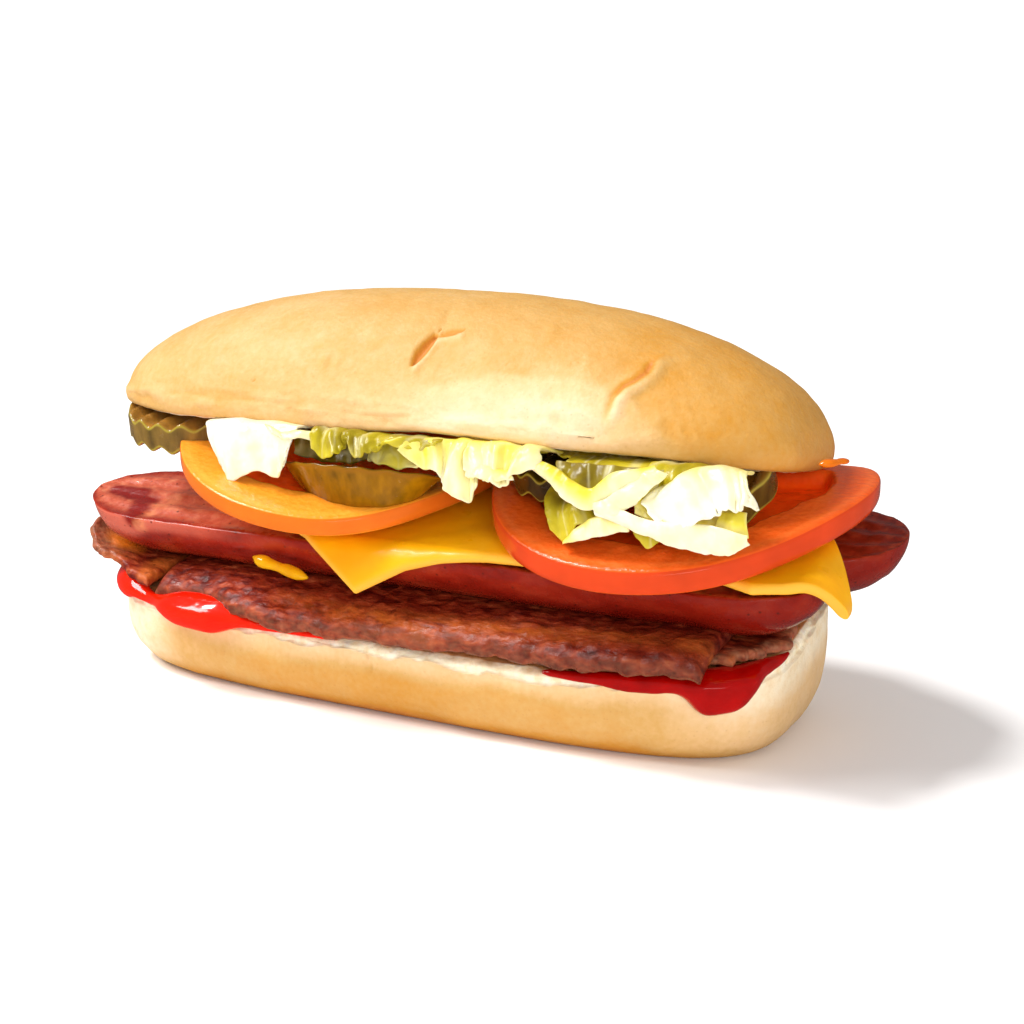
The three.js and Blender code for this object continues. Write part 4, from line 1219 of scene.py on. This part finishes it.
def tomato(s):
    t = (np.arange(TOMATO_COLUMNS) + 0.5) * TAU / TOMATO_COLUMNS
    half = s["thickness"] / 2
    profile = [(share, -1.0) for share in (0.05, 0.25, 0.5, 0.7, 0.85, 0.93)]
    profile += lower_edge(0.965, 0.035, 0, 1, np.linspace(0.3, 1.5, 7))
    profile += [(1.0, level) for level in (0.15, 0.35, 0.55)]
    profile += upper_edge(0.985, 0.015, 0.6, 0.38, np.linspace(0.2, 1.5, 6))
    inward = np.concatenate([np.linspace(0.975, 0.4, 52), np.linspace(0.38, 0.05, 14)])
    profile += [(share, 1.0) for share in inward]
    share = np.array([p[0] for p in profile])[:, None]
    level = np.array([p[1] for p in profile])[:, None]
    wobble = 1 + 0.012 * np.sin(3 * t + s["turn"]) + 0.008 * np.sin(5 * t)
    x = s["x"] + share * wobble * s["radius"] * np.cos(t)
    y = s["y"] + share * wobble * s["radius"] * np.sin(t) * math.cos(s["forward"])
    dx, dy = x - s["x"], y - s["y"]
    middle = (
        s["z"] + dy * math.tan(s["forward"]) - dx * math.tan(s["sideways"])
        - s["sag"] * dy * dy - 0.006 * np.maximum(0, dy - 14) ** 2
        + s["curl"] * np.maximum(0, dx - 12) ** 2
        - s["press"] * np.maximum(0, -dx - 10) * np.maximum(0, dy + 6)
    )
    flat = stack(x, y, 0)
    edge = 0.05 * fractal(flat, 9, 3, 181)
    top = np.arange(len(profile))[:, None] >= len(profile) - len(inward)
    inside = smooth(s["wall"] - share + edge, 0, 0.05)
    outside = smooth(share + edge, 0.2, 0.3)
    septum = np.abs(np.sin(s["pockets"] / 2 * (t - s["turn"]))) * share
    pocket = inside * outside * smooth(septum + edge, 0.06, 0.16) * top
    z = middle + level * half - s["depth"] * pocket
    grid = stack(x, y, z)
    skin = np.broadcast_to((share > 0.985) & (level < 0.9) & (level > -0.85), x.shape) * 1.0
    grain = 0.12 * fractal(grid, 1.6, 3, 183) + 0.22 * pocket * fractal(grid, 4, 3, 185)
    grid = raised(grid, (1 - skin) * grain * top + 0.1 * fractal(flat, 12, 2, 187))
    rim = bump(share, 0.955, 0.02) * top * np.ones_like(x)
    return grid, skin, pocket, rim


for node, numbers in TOMATOES.items():
    grid, skin, pocket, rim = tomato(numbers)
    flesh = tomato_finish(node + "_flesh", *TOMATO_COLOURS[node])
    body(node + "_ring", node, "tomato", grid, flesh, skin=skin, pocket=pocket, rim=rim)

# ---- pickles ----

PICKLE_COLUMNS = 180
PICKLE_PITCH = 5.6
# Each slice as the arguments of pickle().
PICKLES = {
    "pickle_left": (17, 0.94, (-61, -12.5, 57.6), (9, 2), 6, 0, 1, 0.7),
    "pickle_middle": (19, 0.6, (-9, -25.5, 49.6), (-4, -1), 6, 2.15, 0.66, 0.15),
    "pickle_right": (12.5, 0.94, (65.5, -14.5, 55.2), (30, -4), 6, 0, 1, 0.7),
    "pickle_inner": (14, 0.94, (35, -11.5, 54), (8, 0), 4.5, 0, 1, 0.7),
}
PICKLE_COLOURS = {
    "pickle_left": ((176, 124, 48), (150, 116, 50)),
    "pickle_middle": ((150, 104, 8), (172, 116, 8), (150, 96, 8)),
    "pickle_right": ((126, 80, 18), (104, 84, 30)),
    "pickle_inner": ((98, 70, 18), (92, 62, 14)),
}


def pickle(radius, squash, at, tilt, thickness, wedge, keel, wave):
    """A crinkle-cut slice. squash is its depth as a share of its width, wedge how much thinner it gets
    from its middle to its rear, and keel the size of its lower face as a share of the upper one."""
    t = (np.arange(PICKLE_COLUMNS) + 0.5) * TAU / PICKLE_COLUMNS
    shares = np.linspace(0.06, 0.94, 22)
    profile = [(share, -1.0) for share in shares]
    profile += lower_edge(0.955, 0.045, -0.8, 0.2, np.linspace(0.2, 1.5, 6))
    profile += [(1.0, level) for level in np.linspace(-0.7, 0.7, 8)]
    profile += upper_edge(0.955, 0.045, 0.8, 0.2, np.linspace(0.1, 1.4, 6))
    profile += [(share, 1.0) for share in shares[::-1]]
    share = np.array([p[0] for p in profile])[:, None]
    level = np.array([p[1] for p in profile])[:, None]
    share_at = share * lerp(keel, 1, (level + 1) / 2)
    x = share_at * radius * np.cos(t)
    y = squash * share_at * radius * np.sin(t)
    wave = wave * np.cos(TAU * x / PICKLE_PITCH)
    half = thickness / 2 - wedge * np.sin(t) * share_at
    grid = stack(x, y, level * half + wave)
    skin = np.broadcast_to((share > 0.99) * 1.0, x.shape)
    rim = np.broadcast_to(bump(np.abs(level), 0.86, 0.08) * (share > 0.95), x.shape)
    grid = raised(grid, 0.15 * fractal(grid, 3, 3, 191))
    a, b = (math.radians(v) for v in tilt)
    turn_x = np.array([[1, 0, 0], [0, math.cos(a), -math.sin(a)], [0, math.sin(a), math.cos(a)]])
    turn_y = np.array([[math.cos(b), 0, math.sin(b)], [0, 1, 0], [-math.sin(b), 0, math.cos(b)]])
    return grid @ (turn_x @ turn_y).T + np.array(at), skin, rim


for node, numbers in PICKLES.items():
    grid, skin, rim = pickle(*numbers)
    flesh = pickle_finish(node + "_flesh", *PICKLE_COLOURS[node])
    body(node + "_slice", node, "pickle", grid, flesh, skin=skin, rim=rim)

# ---- lettuce ----

# Each leaf's values in the order of LEAF_KEYS. Its lines run across it, from its root to its free edge,
# and green is its shade at those two. The first leaf of a node has the place of the node's solid.
LEAF_KEYS = ("node", "arch", "ruffle", "waves", "phase", "green", "tear", "lines")
LEAVES = [
    ("lettuce_left", 0.8, 0.5, 2, 2.2, (0.1, 0.0), 0.5, [
        [(-45, -25, 60.3), (-33, -25, 60.5), (-20, -25, 60.5)],
        [(-44.5, -32, 60.3), (-36, -32, 61), (-28, -32, 61.3), (-20, -32, 61)],
        [(-40, -34.5, 53), (-35.5, -36, 49.5), (-29, -36.5, 52.5), (-23, -36, 51.5), (-22, -34.5, 56)],
    ]),
    ("lettuce_left", 0.4, 0.3, 1.5, 0.5, (0.3, 0.1), 0.4, [
        [(-28.5, -33, 61.3), (-23.5, -33.4, 61), (-15, -32.6, 61)],
        [(-25, -35.2, 60.2), (-20.5, -34.8, 59.6), (-15, -33, 59.6)],
    ]),
    # This leaf, tucked under the crown's edge, is dark olive: painted shade.
    ("lettuce_left", 0.6, 0.5, 2, 1, (0.95, 0.9), 0.8, [
        [(-26, -24, 60), (-16, -24, 60), (-6, -24, 60)],
        [(-24, -29, 55), (-15, -28, 54), (-6, -28, 55)],
    ]),
    ("lettuce_frill", 0.4, 0.7, 5, 0.8, (0.85, 0.62), 0.6, [
        [(-17, -25, 60.4), (-1, -25, 60.5), (14, -25, 60.5)],
        [(-16.5, -32, 61.3), (-8, -32, 61.4), (1.5, -32, 61.4), (14.5, -32, 61.4)],
        [(-16, -34, 58), (-13, -35.5, 57.2), (-8.5, -36.5, 57.6), (-7.5, -33.5, 60), (-4, -36.5, 58),
         (-1.5, -35.5, 58.2), (1, -34, 60.2), (7, -34.5, 60.6), (14, -34, 60.6)],
    ]),
    ("lettuce_frill", 0.8, 0.6, 2, 2.6, (0.5, 0.3), 0.6, [
        [(-7, -24, 60), (1.5, -24, 60), (12, -24, 60)],
        [(-5, -30, 56), (-1, -31, 55), (5.5, -31, 55.2), (13, -31, 56)],
    ]),
    ("lettuce_frill", 0.6, 0.9, 3, 0.2, (0.55, 0.18), 0.6, [
        [(6, -25, 60.4), (14, -25, 60.4), (22, -25, 60.4)],
        [(7, -32, 61.3), (15, -32, 61.3), (23, -32, 61.2)],
        [(4.5, -34, 59.6), (11, -35, 56.5), (15.5, -36, 55.8), (17.5, -37, 53), (22.5, -37, 51.8),
         (24.5, -35.6, 55)],
    ]),
    ("lettuce_middle", 1.2, 0.9, 2.4, 0.4, (0.52, 0.14), 0.7, [
        [(21, -25, 60.4), (29, -25, 60.5), (38, -25, 60.5)],
        [(21, -32, 61.2), (28.5, -32, 61.3), (37, -32, 61.2)],
        [(21.5, -35, 56.5), (25, -37, 56.3), (27.5, -37.6, 55.6), (30.5, -37.6, 55.3),
         (33.5, -36.4, 57.3), (38, -34.5, 59.3)],
    ]),
    ("lettuce_middle", 0.5, 0.5, 1.6, 2, (0.3, 0.16), 0.5, [
        [(22, -34.5, 57.5), (26, -36, 58.6), (32, -35.6, 58)],
        [(22, -36.5, 56), (27, -38.4, 56.4), (33, -37, 56.6)],
    ]),
    ("lettuce_shade", 0.6, 0.5, 2, 1.6, (0.75, 0.6), 0.8, [
        [(40.5, -25, 60), (50, -25, 60.4), (60, -25, 60.4)],
        [(41, -30.5, 59), (50, -30.5, 59.4), (61, -30.5, 59.4)],
        [(41.5, -31.5, 56.6), (47, -32, 55), (54, -32, 55.6), (61, -31.5, 56)],
    ]),
    ("lettuce_shade", 0.6, 0.6, 2, 0.3, (0.75, 0.6), 0.8, [
        [(58, -25, 60.5), (65, -25, 60.6), (72, -25, 60.6)],
        [(59, -30.5, 60), (64, -30.5, 60.2), (70, -30.5, 60.2)],
        [(60, -33, 56.5), (65, -34, 55), (70, -34, 56.6)],
    ]),
    ("lettuce_strand", 0.8, 0.5, 3, 1.2, (0.5, 0.12), 0.6, [
        [(36.5, -33, 60.3), (41.5, -35, 59.5), (45, -36, 57.8), (49, -36.5, 56.6), (51.2, -36, 58.2),
         (53.7, -36, 60), (58.5, -35, 61), (61, -33, 61.5)],
        [(35.5, -34, 58.6), (40, -35.4, 56.8), (43, -36.4, 54.4), (49, -37, 52.6), (53, -36.6, 54.8),
         (56, -36.6, 56.8), (60, -35.8, 58.6), (63, -33.6, 60.4)],
    ]),
    ("lettuce_strand", 0.7, 0.5, 2.4, 0.2, (0.12, 0.0), 0.6, [
        [(60.5, -34, 61.3), (59, -36, 60), (55.5, -37, 57.5), (52.5, -37.6, 55), (50, -37.6, 54)],
        [(64, -34, 60.6), (62, -36, 58), (59, -37, 54.8), (55, -37.6, 52.4), (51, -37.6, 51.6)],
    ]),
    ("lettuce_strand", 0.8, 0.7, 3, 2.2, (0.85, 0.66), 0.8, [
        [(40, -31.5, 60), (50, -32, 60.4), (62, -31.5, 60.4)],
        [(41, -34, 56.4), (48, -35, 54), (55, -35, 54), (62, -34, 56.4)],
    ]),
    ("lettuce_right", 0.9, 0.9, 3.3, 1.1, (0.4, 0.0), 0.9, [
        [(68, -26, 60.6), (73, -26, 60.6), (78, -26, 60.4)],
        [(60.5, -35, 55), (65, -35.4, 58.3), (68.8, -33.6, 60.6), (73, -32.6, 61.2), (77, -32.6, 61),
         (79.5, -33.6, 60)],
        [(62.5, -38, 52), (68, -39, 50.8), (74, -39, 53.6), (78, -39, 55.3), (80.5, -38.4, 56),
         (83, -36.6, 56)],
    ]),
    ("lettuce_right", -0.5, 0.3, 1.5, 0, (0.56, 0.4), 0.4, [
        [(57, -34.4, 56), (60, -34.6, 55.4), (65, -35, 58)],
        [(58.5, -36.6, 52.8), (62.5, -36.8, 52), (67.5, -36.8, 54)],
    ]),
    ("lettuce_lobe", 0.8, 0.5, 2.5, 0, (0.14, 0.02), 0.6, [
        [(50, -37, 54.5), (56, -37.6, 53.4), (62.5, -38, 52.2), (70, -38.6, 52.6), (76, -38.6, 52.6),
         (81.5, -38, 51.4)],
        [(51, -37, 52), (56, -37.6, 50.5), (63, -38.2, 49), (70.5, -38.6, 47.4), (78, -38.6, 47.2),
         (81.5, -38, 49.8)],
    ]),
    ("lettuce_lobe", 0.5, 0.3, 1.5, 1, (0.4, 0.3), 0.4, [
        [(60, -25, 53.4), (67, -25, 53), (74, -25, 52.6)],
        [(62, -36, 51.6), (69, -37, 51.6), (77, -37, 51.6)],
    ]),
    ("lettuce_lobe", 0.5, 0.3, 1.2, 2, (0.5, 0.35), 0.4, [
        [(75, -35.6, 54.6), (78, -35.8, 55), (80, -35.4, 55)],
        [(74.5, -37.4, 51.6), (78.5, -37.6, 51), (81, -37, 50.8)],
    ]),
    ("lettuce_curl", 0.6, 0.5, 1.5, 1, (0.8, 0.62), 0.5, [
        [(36, -25, 53.6), (43, -25, 53.4), (50, -25, 53)],
        [(37.5, -31, 50.5), (42.5, -31, 51.6), (48, -31, 51.6)],
        [(39.5, -34, 46.8), (44, -35.6, 45.4), (47, -35.6, 48.4), (50.5, -34.4, 50)],
    ]),
    ("lettuce_curl", 0.5, 0.3, 2, 0.4, (0.3, 0.18), 0.4, [
        [(43.5, -36.2, 45.6), (47.5, -36.2, 49.5), (51.5, -36.2, 51.6), (58, -36.4, 51.6)],
        [(44, -36.7, 45), (49.5, -37.3, 47), (54, -37.3, 48.4), (57.5, -37, 49.4)],
    ]),
    ("lettuce_curl", 0.3, 0.3, 1.2, 2.4, (0.66, 0.6), 0.4, [
        [(57, -35.6, 50.8), (60.5, -36, 50.8), (64, -36, 50.4)],
        [(58.5, -36.5, 48.4), (61.5, -37, 46.4), (64, -37, 48.8)],
    ]),
    ("lettuce_under", 1, 0.8, 3, 1, (0.8, 0.7), 1.0, [
        [(16, -4, 58.6), (40, -3, 59.5), (62, -3, 60)],
        [(20, -22, 59), (42, -23, 59), (63, -23, 58.6)],
    ]),
    ("lettuce_rear_left", 1.7, 1, 3, 1, (0.2, 0.5), 1.6, [
        [(-56, 16, 54.9), (-34, 16, 55.4), (-10, 16, 55.2)],
        [(-58, 33.5, 49.5), (-40, 36, 48.2), (-22, 37.5, 46.5), (-8, 36, 47.5)],
    ]),
    ("lettuce_rear_left", 1.2, 1, 3.4, 2.8, (0.2, 0.0), 1.4, [
        [(-50, 26, 53.4), (-36, 27, 53.6), (-20, 27, 53)],
        [(-52, 36, 50.6), (-42, 38, 49.4), (-30, 38.5, 48), (-16, 38, 48.4)],
    ]),
    ("lettuce_rear_right", 1.9, 1, 3, 2.4, (0.15, 0.45), 1.6, [
        [(14, 18, 54.8), (34, 18, 54.6), (60, 18, 54.8)],
        [(12, 38, 49), (28, 41.5, 46.5), (46, 42, 46.5), (66, 39.5, 48.5)],
    ]),
    ("lettuce_rear_right", 1.2, 1.1, 3.6, 0.6, (0.3, 0.1), 1.4, [
        [(20, 28, 53), (36, 30, 52.6), (56, 29, 53)],
        [(18, 38, 50.8), (32, 41.5, 48.6), (46, 42.4, 48.4), (60, 40, 50.2)],
    ]),
]
LEAF_THICKNESS = 0.6
LEAF_SEED, LEAF_SEED_STEP = 200, 20


def woven(lines):
    """Smooth surface through two or more lines: u runs along them and v from the first to the last."""
    rows = [curve(line) for line in lines]
    last = len(rows) - 1

    def on(row, u):
        t = np.clip(u, 0, 1)
        tangent = row(np.minimum(t + 0.01, 1)) - row(np.maximum(t - 0.01, 0))
        return row(t) + 100 * (u - t)[..., None] * tangent

    def middle(u, v):
        at = np.stack([on(row, u) for row in rows])
        slope = np.gradient(at, axis=0)
        place = np.clip(v, 0, 1) * last
        i = np.clip(np.floor(place), 0, last - 1).astype(int)
        w = (place - i)[..., None]
        pick = lambda a, k: np.take_along_axis(a, (i + k)[None, ..., None], 0)[0]
        p0, p1, m0, m1 = pick(at, 0), pick(at, 1), pick(slope, 0), pick(slope, 1)
        point = (
            p0 * (1 - 3 * w**2 + 2 * w**3)
            + p1 * (3 * w**2 - 2 * w**3)
            + m0 * (w - 2 * w**2 + w**3)
            + m1 * (w**3 - w**2)
        )
        return point + (v - np.clip(v, 0, 1))[..., None] * last * m1

    return middle


def leaf_middle(s, size, seed):
    flat = woven(s["lines"])
    a, b = np.array(s["lines"][-2]), np.array(s["lines"][-1])
    normal = np.cross(b[-1] - b[0], b.mean(0) - a.mean(0))
    normal = normal / np.linalg.norm(normal)
    if normal[2] + normal[1] * np.sign(b[0][1]) < 0:
        normal = -normal

    def middle(u, v):
        lines = stack(u * size[0], seed, 0)
        sides = stack(v * size[1], seed + 50, 0)
        far = v * (1 + s["tear"] * fractal(lines, 4, 4, seed) / size[1])
        turned = u + 0.9 * s["tear"] * fractal(sides, 4, 3, seed + 3) / size[0] * (2 * u - 1)
        spot = stack(u * size[0], v * size[1], seed)
        bent = u + 0.1 * noise(spot, 6, seed + 7)
        wave = s["ruffle"] * (0.2 + 0.8 * v) * np.sin(TAU * s["waves"] * bent + s["phase"] + 1.5 * v)
        frill = 0.45 * s["ruffle"] * v**2 * np.sin(TAU * 2.7 * s["waves"] * bent + 5 * s["phase"])
        crisp = 0.8 * fractal(spot, 4.5, 4, seed + 5) + 0.7 * (0.5 - np.abs(noise(spot, 5, seed + 8)))
        rise = s["arch"] * np.sin(math.pi * np.clip(v, 0, 1)) + wave + frill + crisp
        return flat(turned, far) + normal * rise[..., None]

    return middle


leaf_look = leaf_finish("lettuce")
leaf_count = {}
for order, values in enumerate(LEAVES, 1):
    shape = dict(zip(LEAF_KEYS, values))
    node = shape["node"]
    leaf_count[node] = leaf_count.get(node, 0) + 1
    seed = LEAF_SEED + order * LEAF_SEED_STEP
    rows = [np.array(line) for line in shape["lines"]]
    length = 0.5 * sum(np.linalg.norm(row[-1] - row[0]) for row in (rows[0], rows[-1]))
    depth = sum(np.linalg.norm(b.mean(0) - a.mean(0)) for a, b in zip(rows, rows[1:]))
    size = (length, depth)
    counts = [int(np.clip(4 * side, 14, 150)) for side in size]
    surface = leaf_middle(shape, size, seed)
    points, faces, u, v = sheet(surface, LEAF_THICKNESS, size, counts, seed, 0.08)
    veins = 1 - np.abs(noise(stack(u * length, v * depth * 0.3, seed), 3.0, seed + 9)) * 6
    veins = np.clip(veins, 0, 1) * (1 - 0.5 * v)
    green = lerp(*shape["green"], v) + 0.2 * fractal(points, 6, 3, seed + 11)
    name = f"{node}_leaf_{leaf_count[node]}"
    piece(name, node, "lettuce", (points, faces), leaf_look, green=green, vein=veins)

# ---- light and floor ----

scene = bpy.context.scene
scene.view_settings.view_transform = "Standard"
scene.view_settings.look = "None"
scene.view_settings.exposure = 0.0

world = bpy.data.worlds.new("studio")
scene.world = world
world.use_nodes = True
tree = world.node_tree
tree.nodes.clear()
rays = tree.nodes.new("ShaderNodeLightPath")


def world_step(share, base, value):
    node = tree.nodes.new("ShaderNodeMapRange")
    tree.links.new(rays.outputs[share], node.inputs["Value"])
    if isinstance(base, float):
        node.inputs["To Min"].default_value = base
    else:
        tree.links.new(base, node.inputs["To Min"])
    node.inputs["To Max"].default_value = value
    return node.outputs["Result"]


# The room is a white one with few bright walls: even light, dim in reflections, white behind.
ROOM, ROOM_MIRRORED, BACKDROP = 0.5, 0.14, 1.3
strength = world_step("Is Camera Ray", world_step("Is Glossy Ray", ROOM, ROOM_MIRRORED), BACKDROP)
sky = tree.nodes.new("ShaderNodeBackground")
sky.inputs["Color"].default_value = (1, 0.975, 0.955, 1)
tree.links.new(strength, sky.inputs["Strength"])
out = tree.nodes.new("ShaderNodeOutputWorld")
tree.links.new(sky.outputs["Background"], out.inputs["Surface"])


def softbox(name, place, aim, size, energy, mirrored=True, colour=(1, 1, 1)):
    data = bpy.data.lights.new(name, "AREA")
    data.shape = "RECTANGLE"
    data.size, data.size_y = size
    data.energy = energy
    data.color = colour
    light = bpy.data.objects.new(name, data)
    light.location = place
    light.rotation_euler = (Vector(place) - Vector(aim)).to_track_quat("Z", "Y").to_euler()
    light.visible_glossy = mirrored
    bpy.context.collection.objects.link(light)


def sun(name, toward, strength, angle, colour):
    data = bpy.data.lights.new(name, "SUN")
    data.energy = strength
    data.angle = math.radians(angle)
    data.color = colour
    light = bpy.data.objects.new(name, data)
    light.rotation_euler = Vector(toward).to_track_quat("Z", "Y").to_euler()
    bpy.context.collection.objects.link(light)


CENTRE = (0, 0, 0.045)
sun("key", (-0.5, -0.14, 0.86), 2.15, 14, (1, 1, 0.99))
softbox("window", (-0.45, -0.3, 0.5), CENTRE, (0.22, 0.22), 2.1)
softbox("strip", (0.3, -0.62, 0.06), CENTRE, (0.34, 0.018), 0.22)
softbox("front", (0.5, -0.62, 0.3), CENTRE, (0.4, 0.2), 2.2, mirrored=False)

floor_mesh = bpy.data.meshes.new("floor")
REACH = 12
corners = [(-REACH, -REACH, 0), (REACH, -REACH, 0), (REACH, REACH, 0), (-REACH, REACH, 0)]
floor_mesh.from_pydata(corners, [], [(0, 1, 2, 3)])
floor = bpy.data.objects.new("floor", floor_mesh)
bpy.context.collection.objects.link(floor)
ground = Finish("floor")
weave = ground.relief(ground.noise(2, 2), 0.01, 0.1)
floor_mesh.materials.append(ground.done(linear((255, 254, 254)), 0.9, weave, Specular_IOR_Level=0.0))
floor.visible_glossy = False
floor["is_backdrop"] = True

new_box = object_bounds()
plain = [[[float(v) for v in corner] for corner in box] for box in (cad_box, new_box)]
